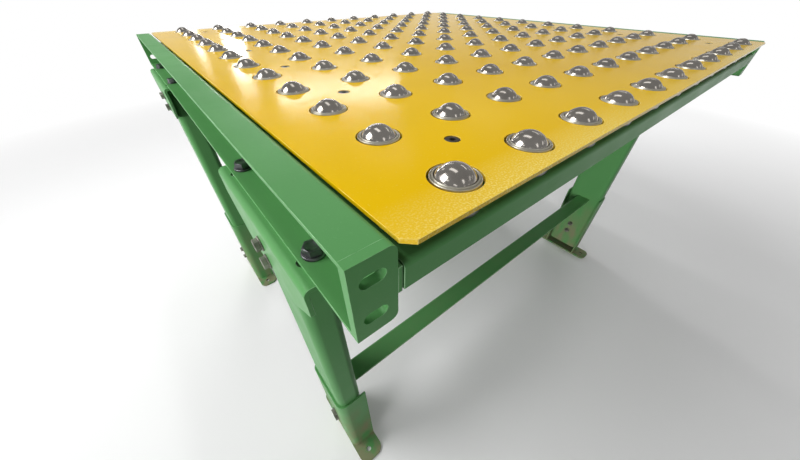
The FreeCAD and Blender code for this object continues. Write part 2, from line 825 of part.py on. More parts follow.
def build_bolt_set(prefix, grip, seats):
    """Makes a set of bolts with a washer under each head and nut, clamping a bound grip.

    The masters stand upright with the clamped stack's head side at zero, and each seat turns one into place.
    """
    dia = f"{prefix}_bolt_dia"
    washer = f"{WASHER_THICK} * {dia}"
    nut_low = f"-({grip}) - {washer} - {NUT_HEIGHT} * {dia}"
    reach = f"{washer} + {grip} + {washer} + {NUT_HEIGHT} * {dia} + thread_end"
    head = hexagon(f"{prefix}_head", f"{HEX_CORNERS} * {dia}", washer, f"{HEAD_HEIGHT} * {dia}")
    stem = cylinder(f"{prefix}_stem", f"{dia} / 2", f"{washer} - ({reach})", reach)
    bolt = combine("Fuse", f"{prefix}_bolt", head, stem)
    nut = hex_nut(f"{prefix}_nut", dia, nut_low)
    disc = cylinder(f"{prefix}_disc", f"{WASHER_DIA} * {dia} / 2", "0", washer)
    bore = cylinder(f"{prefix}_disc_bore", f"({dia} + bolt_clearance) / 2", "0", washer)
    ring = combine("Cut", f"{prefix}_ring", disc, bore)
    doc.recompute()
    under_nut = at(0, 0, value(f"-({grip}) - {washer}"))
    group(f"{prefix}_bolts", bolt, seats)
    group(f"{prefix}_nuts", nut, seats)
    group(f"{prefix}_washers", ring, seats + [seat.multiply(under_nut) for seat in seats])


def outward(side):
    """Gives the turn that points a bolt head away from the table's middle."""
    return FreeCAD.Rotation(Y_AXIS, side * 90)


def build_bolts():
    """Makes the bolts that join rail to bracket, bracket to leg and leg to foot."""
    stand = value("stand_y")
    half_spacing = value("rail_bolt_spacing") / 2
    rail_seats = []
    leg_seats = []
    foot_seats = []
    for side, end in CORNERS.values():
        for step in (-half_spacing, half_spacing):
            spot = (side * value("rail_bolt_x"), end * stand + step, value("rail_bottom + rail_wall"))
            rail_seats.append(at(*spot))
        for level in ("leg_bolt_z", "leg_bolt_z - leg_bolt_spacing"):
            leg_seats.append(at(side * value("bracket_outer"), end * stand, value(level), outward(side)))
        for level in ("foot_bolt_z", "foot_bolt_z + foot_bolt_spacing"):
            face = side * value("leg_outer + sleeve_gap")
            foot_seats.append(at(face, end * stand, value(level), outward(side)))
    build_bolt_set("rail", "rail_wall + bracket_wall", rail_seats)
    build_bolt_set("leg", "bracket_wall + leg_depth", leg_seats)
    build_bolt_set("foot", "sleeve_gap + leg_depth", foot_seats)


# Assembly


def check_pieces():
    """Stops the build when any object failed or any sub-part has no sound shape."""
    for item in doc.Objects:
        if {"Invalid", "Error"} & set(item.State):
            raise ValueError(f"{item.Name} failed: {item.State}")
    for piece in pieces:
        if piece.Shape.isNull() or not piece.Shape.isValid() or not piece.Shape.Solids:
            raise ValueError(f"{piece.Label} has no sound shape")


def main():
    """Builds every sub-part and writes each to its own file."""
    fill_sheet()
    build_deck()
    build_deck_fixings()
    build_ball_units()
    build_rail("left_rail", 0, -1)
    build_rail("right_rail", 180, 1)
    for number in range(round(value("channel_count"))):
        build_cross_channel(number)
    build_cleats()
    for corner, (side, end) in CORNERS.items():
        build_end_plate(f"{corner}_end_plate", side, end)
        build_bracket(f"{corner}_bracket", side, end)
        build_leg(f"{corner}_leg", side, end)
        build_foot(f"{corner}_foot", side, end)
    build_brace("near_brace", -1)
    build_brace("far_brace", 1)
    build_bolts()
    doc.recompute()
    check_pieces()
    os.makedirs("parts", exist_ok=True)
    for piece in pieces:
        piece.Shape.exportStep(f"parts/{piece.Label}.step")
    print(f"{len(pieces)} sub-parts written")


main()
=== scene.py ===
"""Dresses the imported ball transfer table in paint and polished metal, and sets its light and camera."""

import json
import logging
import math
from abc import ABC, abstractmethod
from collections.abc import Sequence
from dataclasses import dataclass
from enum import Enum

import bmesh
import bpy
import numpy as np
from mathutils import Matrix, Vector


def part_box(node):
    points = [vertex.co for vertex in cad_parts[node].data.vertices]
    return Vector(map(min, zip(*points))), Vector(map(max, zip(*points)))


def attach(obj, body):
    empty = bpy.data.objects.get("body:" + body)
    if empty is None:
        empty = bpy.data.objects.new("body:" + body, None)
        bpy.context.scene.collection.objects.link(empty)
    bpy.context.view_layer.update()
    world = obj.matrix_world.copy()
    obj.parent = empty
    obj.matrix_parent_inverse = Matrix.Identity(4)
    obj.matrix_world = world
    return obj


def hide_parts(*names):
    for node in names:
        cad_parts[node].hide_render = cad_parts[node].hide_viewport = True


LOG = logging.getLogger("ball_transfer_table")

Colour = tuple[float, float, float, float]
Socket = bpy.types.NodeSocket

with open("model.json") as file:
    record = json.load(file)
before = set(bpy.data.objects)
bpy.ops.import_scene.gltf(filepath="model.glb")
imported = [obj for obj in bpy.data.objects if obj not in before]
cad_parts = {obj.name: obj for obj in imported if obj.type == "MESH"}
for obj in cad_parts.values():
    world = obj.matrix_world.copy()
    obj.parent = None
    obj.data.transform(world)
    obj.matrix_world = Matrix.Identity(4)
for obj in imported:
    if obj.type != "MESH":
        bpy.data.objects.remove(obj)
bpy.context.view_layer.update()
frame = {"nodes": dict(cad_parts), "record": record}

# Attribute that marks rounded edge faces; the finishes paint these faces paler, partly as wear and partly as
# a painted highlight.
EDGE_MARK = "edge_wear"
MERGE = 2e-6
POLE_MERGE = 1e-7
FLAT_ANGLE = math.radians(0.6)
FLAT_WEIGHT = 80
WHITE = (1.0, 1.0, 1.0, 1.0)
UP = Vector((0.0, 0.0, 1.0))
# A Mix node has sockets of one name for every type, so its colour sockets are found by number.
MIX_FIRST = 6
MIX_SECOND = 7
MIX_RESULT = 2
BODY_OF_NODE = {
    node: body
    for body, nodes in frame["record"]["behaviour"]["bodies"].items()
    for node in nodes
}


def chip(red: int, green: int, blue: int) -> Colour:
    """Turns a colour as a screen shows it into the linear colour that shaders take.

    Args:
        red: Red, 0 to 255.
        green: Green, 0 to 255.
        blue: Blue, 0 to 255.

    Returns:
        The linear colour with an alpha of one.
    """
    linear = []
    for level in (red, green, blue):
        share = level / 255.0
        linear.append(share / 12.92 if share <= 0.04045 else ((share + 0.055) / 1.055) ** 2.4)
    return (linear[0], linear[1], linear[2], 1.0)


class ShaderBench:
    """Short calls that fill the node tree of a finish or of the surroundings.

    Attributes:
        tree: The node tree.
        place: The coordinates that patterns are laid out in.
    """

    def __init__(self, tree: bpy.types.NodeTree, coordinates: str) -> None:
        """Starts on a tree.

        Args:
            tree: The node tree to fill.
            coordinates: Name of the coordinates to use.
        """
        self.tree = tree
        self.place = self.add("ShaderNodeTexCoord").outputs[coordinates]

    def add(self, kind: str, **settings: object) -> bpy.types.Node:
        """Adds a node and sets its properties.

        Args:
            kind: The node's type.
            **settings: Properties of the node, by name.

        Returns:
            The new node.
        """
        node = self.tree.nodes.new(kind)
        for name, value in settings.items():
            setattr(node, name, value)
        return node

    def feed(self, socket: Socket, value: object) -> None:
        """Links another node's output to a socket, or sets a plain value on it.

        Args:
            socket: The input to feed.
            value: An output socket, a number or a colour.
        """
        if isinstance(value, bpy.types.NodeSocket):
            self.tree.links.new(value, socket)
        else:
            socket.default_value = value

    def noise(self, size: float, detail: float = 2.0, stretch: Sequence[float] = (1.0, 1.0, 1.0)) -> Socket:
        """Makes a cloudy pattern.

        Args:
            size: Width of one cloud in metres.
            detail: Octaves of finer clouds.
            stretch: How many times finer the pattern is along each axis.

        Returns:
            The pattern, 0 to 1.
        """
        mapping = self.add("ShaderNodeMapping")
        mapping.inputs["Scale"].default_value = stretch
        self.feed(mapping.inputs["Vector"], self.place)
        node = self.add("ShaderNodeTexNoise")
        self.feed(node.inputs["Vector"], mapping.outputs["Vector"])
        node.inputs["Scale"].default_value = 1.0 / size
        node.inputs["Detail"].default_value = detail
        return node.outputs["Fac"]

    def cells(self, size: float) -> Socket:
        """Makes a pattern of flat patches, as zinc crystals have.

        Args:
            size: Width of one patch in metres.

        Returns:
            One random shade per patch, 0 to 1.
        """
        node = self.add("ShaderNodeTexVoronoi")
        self.feed(node.inputs["Vector"], self.place)
        node.inputs["Scale"].default_value = 1.0 / size
        split = self.add("ShaderNodeSeparateColor")
        self.feed(split.inputs["Color"], node.outputs["Color"])
        return split.outputs["Red"]

    def along(self, axis: str) -> Socket:
        """Gives one coordinate of the place.

        Args:
            axis: X, Y or Z.

        Returns:
            The coordinate.
        """
        split = self.add("ShaderNodeSeparateXYZ")
        self.feed(split.inputs["Vector"], self.place)
        return split.outputs[axis]

    def spread(self, value: Socket, span: tuple[float, float], onto: tuple[float, float]) -> Socket:
        """Maps a pattern from one range onto another, and cuts off what lies outside.

        Args:
            value: The pattern.
            span: The range to read.
            onto: The range to give.

        Returns:
            The mapped pattern.
        """
        node = self.add("ShaderNodeMapRange", clamp=True)
        self.feed(node.inputs["Value"], value)
        node.inputs["From Min"].default_value = span[0]
        node.inputs["From Max"].default_value = span[1]
        node.inputs["To Min"].default_value = onto[0]
        node.inputs["To Max"].default_value = onto[1]
        return node.outputs["Result"]

    def sum(self, operation: str, first: object, second: object) -> Socket:
        """Joins two patterns by arithmetic.

        Args:
            operation: The Math node's operation.
            first: A pattern or number.
            second: A pattern or number.

        Returns:
            The result.
        """
        node = self.add("ShaderNodeMath", operation=operation)
        self.feed(node.inputs[0], first)
        self.feed(node.inputs[1], second)
        return node.outputs["Value"]

    def alone(self, operation: str, value: Socket) -> Socket:
        """Changes one pattern by arithmetic.

        Args:
            operation: The Math node's operation.
            value: The pattern.

        Returns:
            The result.
        """
        node = self.add("ShaderNodeMath", operation=operation)
        self.feed(node.inputs[0], value)
        return node.outputs["Value"]

    def blend(self, share: Socket, first: object, second: object) -> Socket:
        """Mixes two colours.

        Args:
            share: How much of the second colour shows.
            first: A colour or colour socket.
            second: A colour or colour socket.

        Returns:
            The mixed colour.
        """
        node = self.add("ShaderNodeMix", data_type="RGBA")
        self.feed(node.inputs["Factor"], share)
        self.feed(node.inputs[MIX_FIRST], first)
        self.feed(node.inputs[MIX_SECOND], second)
        return node.outputs[MIX_RESULT]

    def relief(self, height: Socket, depth: float, strength: float, under: Socket | None = None) -> Socket:
        """Turns a pattern into raised and sunk places.

        Args:
            height: The pattern.
            depth: Height of the relief in metres.
            strength: Share of the relief that shows.
            under: A normal to add the relief to.

        Returns:
            The normal with the relief on it.
        """
        node = self.add("ShaderNodeBump")
        node.inputs["Strength"].default_value = strength
        node.inputs["Distance"].default_value = depth
        self.feed(node.inputs["Height"], height)
        if under is not None:
            self.feed(node.inputs["Normal"], under)
        return node.outputs["Normal"]

    def choose(self, share: Socket, first: Socket, second: Socket) -> Socket:
        """Mixes two shaders.

        Args:
            share: How much of the second shader shows.
            first: A shader.
            second: A shader.

        Returns:
            The mixed shader.
        """
        node = self.add("ShaderNodeMixShader")
        self.feed(node.inputs["Fac"], share)
        self.feed(node.inputs[1], first)
        self.feed(node.inputs[2], second)
        return node.outputs["Shader"]

    def mirrored(self) -> Socket:
        """Gives one for what a mirror or glass shows, otherwise zero."""
        path = self.add("ShaderNodeLightPath")
        return self.sum("MAXIMUM", path.outputs["Is Glossy Ray"], path.outputs["Is Transmission Ray"])

    def in_view(self) -> Socket:
        """Gives one for what the camera sees straight on, otherwise zero."""
        return self.add("ShaderNodeLightPath").outputs["Is Camera Ray"]


class MaterialBench(ShaderBench):
    """A new material, laid out in metres in the table's own frame.

    Attributes:
        material: The material being made.
        shader: Its Principled shader.
    """

    def __init__(self, name: str) -> None:
        """Starts the material.

        Args:
            name: The material's name.
        """
        self.material = bpy.data.materials.new(name)
        self.material.use_nodes = True
        super().__init__(self.material.node_tree, "Object")
        self.shader = self.tree.nodes["Principled BSDF"]

    def dress(self, **inputs: object) -> None:
        """Feeds inputs of the Principled shader.

        Args:
            **inputs: Values by socket name, with underscores for spaces.
        """
        for name, value in inputs.items():
            self.feed(self.shader.inputs[name.replace("_", " ")], value)

    def rounded_edge(self) -> Socket:
        """Gives one on a rounded edge, otherwise zero; finishes paint these faces as wear and as a painted
        highlight.
        """
        return self.add("ShaderNodeAttribute", attribute_name=EDGE_MARK).outputs["Fac"]


@dataclass(frozen=True)
class Finish(ABC):
    """A surface finish that can be mixed into a material.

    Attributes:
        name: The material's name.
    """

    name: str

    @abstractmethod
    def mix(self) -> bpy.types.Material:
        """Makes the material."""


@dataclass(frozen=True)
class Paint(Finish):
    """Sprayed paint on sheet steel, with its runs of tone, orange peel, paler rounded edges that are wear
    and painted highlight, a pale end band of painted sheen and rubbing, and floor dirt.

    Attributes:
        colour: The paint's own colour.
        deep: The colour where it lies thick.
        bare_and_sheen: The pale colour of specks and of wear, also used as painted highlight on rounded
            edges and as painted sheen in the band at the ends.
        grime: The colour of dirt near the floor.
        grime_top: Height in metres up to which dirt is found.
        gloss: Lowest and highest roughness.
        peel: Size of the orange peel in metres.
        peel_depth: Height of the orange peel in metres.
        shine: Strength of the surface's mirror light.
        coat: Weight of the clear top layer.
        specks: How far fine pale specks show, 0 to 1.
        sheen_band_from: Distance in metres from the middle, along the table, at which the pale end band
            starts: painted sheen, and rubbing by loads.
        sheen_band_to: Distance at which the band is strongest, or zero where there is no band.
        cloud: Size in metres of the runs of tone.
        fleck: Size in metres of the pale specks.
        grit: Size in metres of the grains in the pale end band.
        patch: Size in metres of the patches of the pale end band.
        edge_spot: Size in metres of the paler places along an edge, which are wear and painted highlight.
        streak: Size in metres of the streaks of dirt.
        dulling: Size in metres of duller places.
        dust: Size in metres of the dust under the paint.
        coat_gloss: Roughness of the clear top layer.
    """

    colour: Colour
    deep: Colour
    bare_and_sheen: Colour
    grime: Colour
    grime_top: float
    gloss: tuple[float, float]
    peel: float
    peel_depth: float
    shine: float
    coat: float
    specks: float
    sheen_band_from: float = 0.0
    sheen_band_to: float = 0.0
    cloud: float = 0.22
    fleck: float = 0.0022
    grit: float = 0.0016
    patch: float = 0.3
    edge_spot: float = 0.013
    streak: float = 0.03
    dulling: float = 0.05
    dust: float = 0.0009
    coat_gloss: float = 0.12

    def sheen_and_rub_band(self, bench: MaterialBench, tone: Socket) -> Socket:
        """Paints the ends of the table paler and gritty: painted sheen where the ends catch light, and
        rubbing where loads slide on.

        Args:
            bench: The material being made.
            tone: The paint's colour so far.

        Returns:
            The colour with the pale end band.
        """
        ends = bench.alone("ABSOLUTE", bench.along("Y"))
        band = bench.spread(ends, (self.sheen_band_from, self.sheen_band_to), (0.0, 1.0))
        grains = bench.spread(bench.noise(self.grit, 2.0), (0.48, 0.64), (0.25, 1.0))
        patches = bench.spread(bench.noise(self.patch, 2.0), (0.4, 0.6), (0.3, 1.0))
        share = bench.sum("MULTIPLY", bench.sum("MULTIPLY", band, grains), patches)
        # Blend towards the pale colour: painted sheen, with rubbing wear.
        return bench.blend(share, tone, self.bare_and_sheen)

    def mix(self) -> bpy.types.Material:
        """Makes the paint's material.

        Returns:
            The material.
        """
        bench = MaterialBench(self.name)
        clouds = bench.noise(self.cloud, 2.0)
        tone = bench.blend(bench.spread(clouds, (0.25, 0.75), (0.0, 1.0)), self.deep, self.colour)
        flecks = bench.spread(bench.noise(self.fleck, 1.0), (0.66, 0.76), (0.0, self.specks))
        tone = bench.blend(flecks, tone, self.bare_and_sheen)
        # Pale band at the table's ends: painted sheen, with rubbing by loads.
        if self.sheen_band_to:
            tone = self.sheen_and_rub_band(bench, tone)
        # Rounded edges turn paler: partly wear, partly a painted highlight along the edge.
        edge_spots = bench.spread(bench.noise(self.edge_spot, 4.0), (0.36, 0.62), (0.0, 1.0))
        tone = bench.blend(bench.sum("MULTIPLY", bench.rounded_edge(), edge_spots), tone, self.bare_and_sheen)
        low = bench.spread(bench.along("Z"), (0.0, self.grime_top), (1.5, 0.0))
        streaks = bench.spread(bench.noise(self.streak, 5.0, (1.0, 1.0, 0.35)), (0.34, 0.66), (0.0, 1.0))
        dirt = bench.sum("MULTIPLY", low, streaks)
        tone = bench.blend(dirt, tone, self.grime)
        dull = bench.spread(bench.noise(self.dulling, 5.0), (0.25, 0.75), self.gloss)
        dull = bench.sum("ADD", dull, bench.sum("MULTIPLY", dirt, 0.3))
        peel = bench.relief(bench.noise(self.peel, 1.5), self.peel_depth, 0.6)
        dust = bench.relief(bench.noise(self.dust, 1.0), self.peel_depth * 0.4, 0.4, peel)
        bench.dress(Base_Color=tone, Roughness=dull, Normal=dust, Specular_IOR_Level=self.shine)
        bench.dress(Coat_Weight=self.coat, Coat_Roughness=self.coat_gloss, Coat_Normal=peel)
        return bench.material


@dataclass(frozen=True)
class Metal(Finish):
    """Bare or plated metal with fine rub marks, dull patches, and rounded edges brightened as rubbing and as
    painted highlight.

    Attributes:
        colour: The bright colour.
        stain: The colour of dull patches.
        stain_share: How far the dull patches show, 0 to 1.
        gloss: Lowest and highest roughness.
        marks: Length of the rub marks in metres.
        mark_depth: Depth of the rub marks in metres.
        crystals: Size of zinc crystals in metres, or zero for none.
        metallic: Share of metal in the surface.
    """

    colour: Colour
    stain: Colour
    stain_share: float
    gloss: tuple[float, float]
    marks: float
    mark_depth: float
    crystals: float = 0.0
    metallic: float = 1.0

    def mix(self) -> bpy.types.Material:
        """Makes the metal's material.

        Returns:
            The material.
        """
        bench = MaterialBench(self.name)
        clouds = bench.noise(self.marks * 2.5, 4.0)
        patches = bench.spread(clouds, (0.42, 0.68), (0.0, self.stain_share))
        tone = bench.blend(patches, self.colour, self.stain)
        if self.crystals:
            spangle = bench.spread(bench.cells(self.crystals), (0.0, 1.0), (0.0, 0.45))
            tone = bench.blend(spangle, tone, self.stain)
        # Rounded edges turn brighter: partly rubbing, partly a painted highlight.
        rub_and_glint = bench.spread(bench.noise(self.marks * 0.4, 4.0), (0.4, 0.65), (0.0, 0.5))
        tone = bench.blend(bench.sum("MULTIPLY", bench.rounded_edge(), rub_and_glint), tone, self.colour)
        dull = bench.spread(bench.noise(self.marks, 3.0), (0.3, 0.7), self.gloss)
        lines = bench.noise(self.marks * 0.25, 2.0, (1.0, 6.0, 6.0))
        bench.dress(Base_Color=tone, Roughness=dull, Normal=bench.relief(lines, self.mark_depth, 0.5))
        bench.dress(Metallic=self.metallic)
        return bench.material


@dataclass(frozen=True)
class StudioFloor(Finish):
    """A pale floor that keeps the table's shadow and runs out to plain white.

    Attributes:
        colour: The floor as it is seen.
        bounce: The darker floor that lights the table from below.
        glow: Share of plain white close to the table.
        near: Radius in metres inside which the floor takes shadows.
        far: Radius in metres beyond which it is plain white.
    """

    colour: Colour
    bounce: Colour
    glow: float
    near: float
    far: float

    def mix(self) -> bpy.types.Material:
        """Makes the floor's material.

        Returns:
            The material.
        """
        bench = MaterialBench(self.name)
        mottle = bench.spread(bench.noise(0.4, 3.0), (0.3, 0.7), (0.0, 0.15))
        bench.dress(Base_Color=bench.blend(mottle, self.colour, chip(240, 240, 240)), Roughness=0.9)
        bench.dress(Specular_IOR_Level=0.0)
        white = bench.add("ShaderNodeEmission")
        away = bench.add("ShaderNodeVectorMath", operation="LENGTH")
        bench.feed(away.inputs[0], bench.place)
        reach = bench.spread(away.outputs["Value"], (self.near, self.far), (self.glow, 1.0))
        seen = bench.choose(reach, bench.shader.outputs["BSDF"], white.outputs["Emission"])
        dim = bench.add("ShaderNodeBsdfDiffuse")
        dim.inputs["Color"].default_value = self.bounce
        shown = bench.sum("MAXIMUM", bench.in_view(), bench.mirrored())
        output = bench.tree.nodes["Material Output"]
        bench.feed(output.inputs["Surface"], bench.choose(shown, dim.outputs["BSDF"], seen))
        return bench.material


YELLOW_PAINT = Paint(
    name="yellow_gloss_paint",
    colour=chip(238, 194, 0),
    deep=chip(230, 184, 0),
    # Pale cream for specks and wear, and for the painted highlight on edges and the painted sheen at the
    # ends.
    bare_and_sheen=chip(248, 232, 142),
    grime=chip(120, 104, 60),
    grime_top=0.02,
    gloss=(0.13, 0.2),
    peel=0.0035,
    peel_depth=0.0001,
    shine=0.08,
    coat=0.03,
    specks=0.12,
    # Pale end band of the deck: painted sheen, with rubbing wear.
    sheen_band_from=0.545,
    sheen_band_to=0.592,
)
GREEN_PAINT = Paint(
    name="green_satin_paint",
    colour=chip(96, 156, 94),
    deep=chip(86, 145, 86),
    # Pale mint for specks and worn edges, and for the painted highlight on rounded edges.
    bare_and_sheen=chip(160, 206, 158),
    grime=chip(132, 138, 104),
    grime_top=0.3,
    gloss=(0.34, 0.46),
    peel=0.005,
    peel_depth=0.00008,
    shine=0.1,
    coat=0.03,
    specks=0.05,
)
POLISHED_BALL = Metal(
    name="polished_ball_steel",
    colour=chip(196, 190, 182),
    stain=chip(140, 134, 126),
    stain_share=0.35,
    gloss=(0.1, 0.17),
    marks=0.012,
    mark_depth=0.000002,
)
CROWN_CHROME = Metal(
    name="crown_chrome",
    colour=chip(218, 214, 200),
    stain=chip(172, 163, 140),
    stain_share=0.35,
    gloss=(0.3, 0.4),
    marks=0.012,
    mark_depth=0.000001,
)
CUP_ZINC = Metal(
    name="cup_zinc",
    colour=chip(176, 178, 176),
    stain=chip(120, 120, 116),
    stain_share=0.6,
    gloss=(0.3, 0.48),
    marks=0.01,
    mark_depth=0.00002,
    crystals=0.006,
)
BEARING_STEEL = Metal(
    name="oiled_bearing_steel",
    colour=chip(150, 148, 142),
    stain=chip(84, 76, 62),
    stain_share=0.7,
    gloss=(0.2, 0.36),
    marks=0.006,
    mark_depth=0.00001,
)
FIXING_ZINC = Metal(
    name="dulled_fixing_zinc",
    colour=chip(138, 134, 122),
    stain=chip(84, 78, 66),
    stain_share=0.8,
    gloss=(0.32, 0.5),
    marks=0.005,
    mark_depth=0.00002,
    crystals=0.002,
)
DARK_STEEL = Metal(
    name="blackened_bolt_steel",
    colour=chip(112, 114, 116),
    stain=chip(50, 50, 52),
    stain_share=0.85,
    gloss=(0.26, 0.46),
    marks=0.006,
    mark_depth=0.00003,
    metallic=0.85,
)
DUSTY_STEEL = Metal(
    name="dusty_bolt_steel",
    colour=chip(150, 150, 138),
    stain=chip(92, 94, 84),
    stain_share=0.8,
    gloss=(0.4, 0.6),
    marks=0.006,
    mark_depth=0.00003,
    metallic=0.6,
)
PALE_FLOOR = StudioFloor(
    name="pale_floor",
    colour=chip(252, 252, 252),
    bounce=chip(120, 120, 120),
    glow=0.03,
    near=1.6,
    far=3.6,
)


def new_piece(name: str, mesh: bpy.types.Mesh) -> bpy.types.Object:
    """Puts a mesh into the scene as an object at the origin.

    Args:
        name: The object's name.
        mesh: Its mesh, in place.

    Returns:
        The new object.
    """
    piece = bpy.data.objects.new(name, mesh)
    bpy.context.scene.collection.objects.link(piece)
    return piece


def settle(piece: bpy.types.Object) -> None:
    """Turns a piece and its modifiers into a plain mesh.

    Args:
        piece: The piece to settle.
    """
    graph = bpy.context.evaluated_depsgraph_get()
    mesh = bpy.data.meshes.new_from_object(piece.evaluated_get(graph), depsgraph=graph)
    piece.modifiers.clear()
    old = piece.data
    piece.data = mesh
    bpy.data.meshes.remove(old)
    mesh.name = piece.name


def soften(solid: bmesh.types.BMesh, width: float, crease: float = 32.0) -> None:
    """Merges a mesh of loose triangles, rounds its sharp edges and marks the rounding, which the finishes
    paint paler as wear and as painted highlight.

    Args:
        solid: The mesh to work on.
        width: Width of the rounding in metres.
        crease: Angle in degrees above which an edge counts as sharp.
    """
    layer = solid.faces.layers.float.new(EDGE_MARK)
    bmesh.ops.remove_doubles(solid, verts=solid.verts, dist=MERGE)
    bmesh.ops.dissolve_limit(solid, angle_limit=FLAT_ANGLE, verts=solid.verts, edges=solid.edges)
    sharp = []
    for edge in solid.edges:
        if len(edge.link_faces) == 2 and edge.calc_face_angle(0.0) > math.radians(crease):
            sharp.append(edge)
    made = bmesh.ops.bevel(
        solid, geom=sharp, offset=width, offset_type="OFFSET", segments=2, profile=0.5,
        affect="EDGES", clamp_overlap=True,
    )
    for face in made["faces"]:
        face[layer] = 1.0
    for face in solid.faces:
        face.smooth = True


def even_shading(piece: bpy.types.Object) -> None:
    """Lets broad flat faces keep their own shade beside rounded edges.

    Args:
        piece: The piece to shade.
    """
    modifier = piece.modifiers.new("even shading", "WEIGHTED_NORMAL")
    modifier.weight = FLAT_WEIGHT
    modifier.keep_sharp = True
    settle(piece)


def softened_copy(node: str, name: str, width: float) -> bpy.types.Object:
    """Copies a CAD node with its edges rounded as a folded and painted sheet has them.

    Args:
        node: The CAD node.
        name: The new piece's name.
        width: Width of the rounding in metres.

    Returns:
        The new piece, without a material.
    """
    solid = bmesh.new()
    solid.from_mesh(frame["nodes"][node].data)
    for layer in list(solid.loops.layers.uv.values()):
        solid.loops.layers.uv.remove(layer)
    soften(solid, width)
    mesh = bpy.data.meshes.new(name)
    solid.to_mesh(mesh)
    solid.free()
    piece = new_piece(name, mesh)
    even_shading(piece)
    return piece


def apply_finish(piece: bpy.types.Object, material: bpy.types.Material) -> None:
    """Gives a piece one material.

    Args:
        piece: The piece.
        material: Its finish.
    """
    piece.data.materials.clear()
    piece.data.materials.append(material)


def hand_over(piece: bpy.types.Object, *nodes: str) -> None:
    """Fixes a finished piece to the body of the CAD nodes that it stands for, and reports it.

    Args:
        piece: The finished piece.
        *nodes: The CAD nodes that it stands for.
    """
    body = BODY_OF_NODE[nodes[0]]
    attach(piece, body)
    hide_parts(*nodes)
    LOG.info("%s: %d faces, on %s, for %s", piece.name, len(piece.data.polygons), body, ", ".join(nodes))


def repaint(node: str, material: bpy.types.Material) -> None:
    """Gives a CAD node a finish, and reports it.

    Args:
        node: The CAD node, which keeps its shape.
        material: Its finish.
    """
    part = frame["nodes"][node]
    for slot in part.material_slots:
        slot.material = material
    LOG.info("%s: CAD shape in %s", node, material.name)


def painted_copy(node: str, width: float, paint: bpy.types.Material) -> None:
    """Lets a painted copy with rounded edges stand for a CAD node.

    Args:
        node: The CAD node.
        width: Width of the rounding in metres.
        paint: The copy's finish.
    """
    piece = softened_copy(node, f"{node}_painted", width)
    apply_finish(piece, paint)
    hand_over(piece, node)


def separate_boxes(node: str) -> list[tuple[Vector, Vector]]:
    """Finds the separate solids in a CAD node.

    Args:
        node: The CAD node.

    Returns:
        Lowest and highest corner of each solid, in a fixed order.
    """
    solid = bmesh.new()
    solid.from_mesh(frame["nodes"][node].data)
    bmesh.ops.remove_doubles(solid, verts=solid.verts, dist=MERGE)
    unseen = set(solid.verts)
    boxes = []
    for start in solid.verts:
        if start not in unseen:
            continue
        unseen.remove(start)
        queue = [start]
        found = []
        while queue:
            vert = queue.pop()
            found.append(vert.co[:])
            for edge in vert.link_edges:
                other = edge.other_vert(vert)
                if other in unseen:
                    unseen.remove(other)
                    queue.append(other)
        corners = np.array(found)
        boxes.append((Vector(corners.min(axis=0)), Vector(corners.max(axis=0))))
    solid.free()
    return sorted(boxes, key=lambda box: tuple(round(value, 5) for value in (*box[0], *box[1])))


def lathe(name: str, profile: Sequence[tuple[float, float]], sides: int) -> bpy.types.Mesh:
    """Turns a closed outline round the upright axis.

    Args:
        name: The mesh's name.
        profile: Radius and height of each point of the outline, in order.
        sides: Number of steps round the axis.

    Returns:
        The turned mesh, faces outwards.
    """
    solid = bmesh.new()
    rings = []
    for step in range(sides):
        angle = math.tau * step / sides
        ring = [solid.verts.new((r * math.cos(angle), r * math.sin(angle), z)) for r, z in profile]
        rings.append(ring)
    count = len(profile)
    for step in range(sides):
        here = rings[step]
        there = rings[(step + 1) % sides]
        for index in range(count):
            after = (index + 1) % count
            solid.faces.new((here[index], there[index], there[after], here[after]))
    bmesh.ops.remove_doubles(solid, verts=solid.verts, dist=POLE_MERGE)
    bmesh.ops.recalc_face_normals(solid, faces=solid.faces)
    for face in solid.faces:
        face.smooth = True
    mesh = bpy.data.meshes.new(name)
    solid.to_mesh(mesh)
    solid.free()
    return mesh


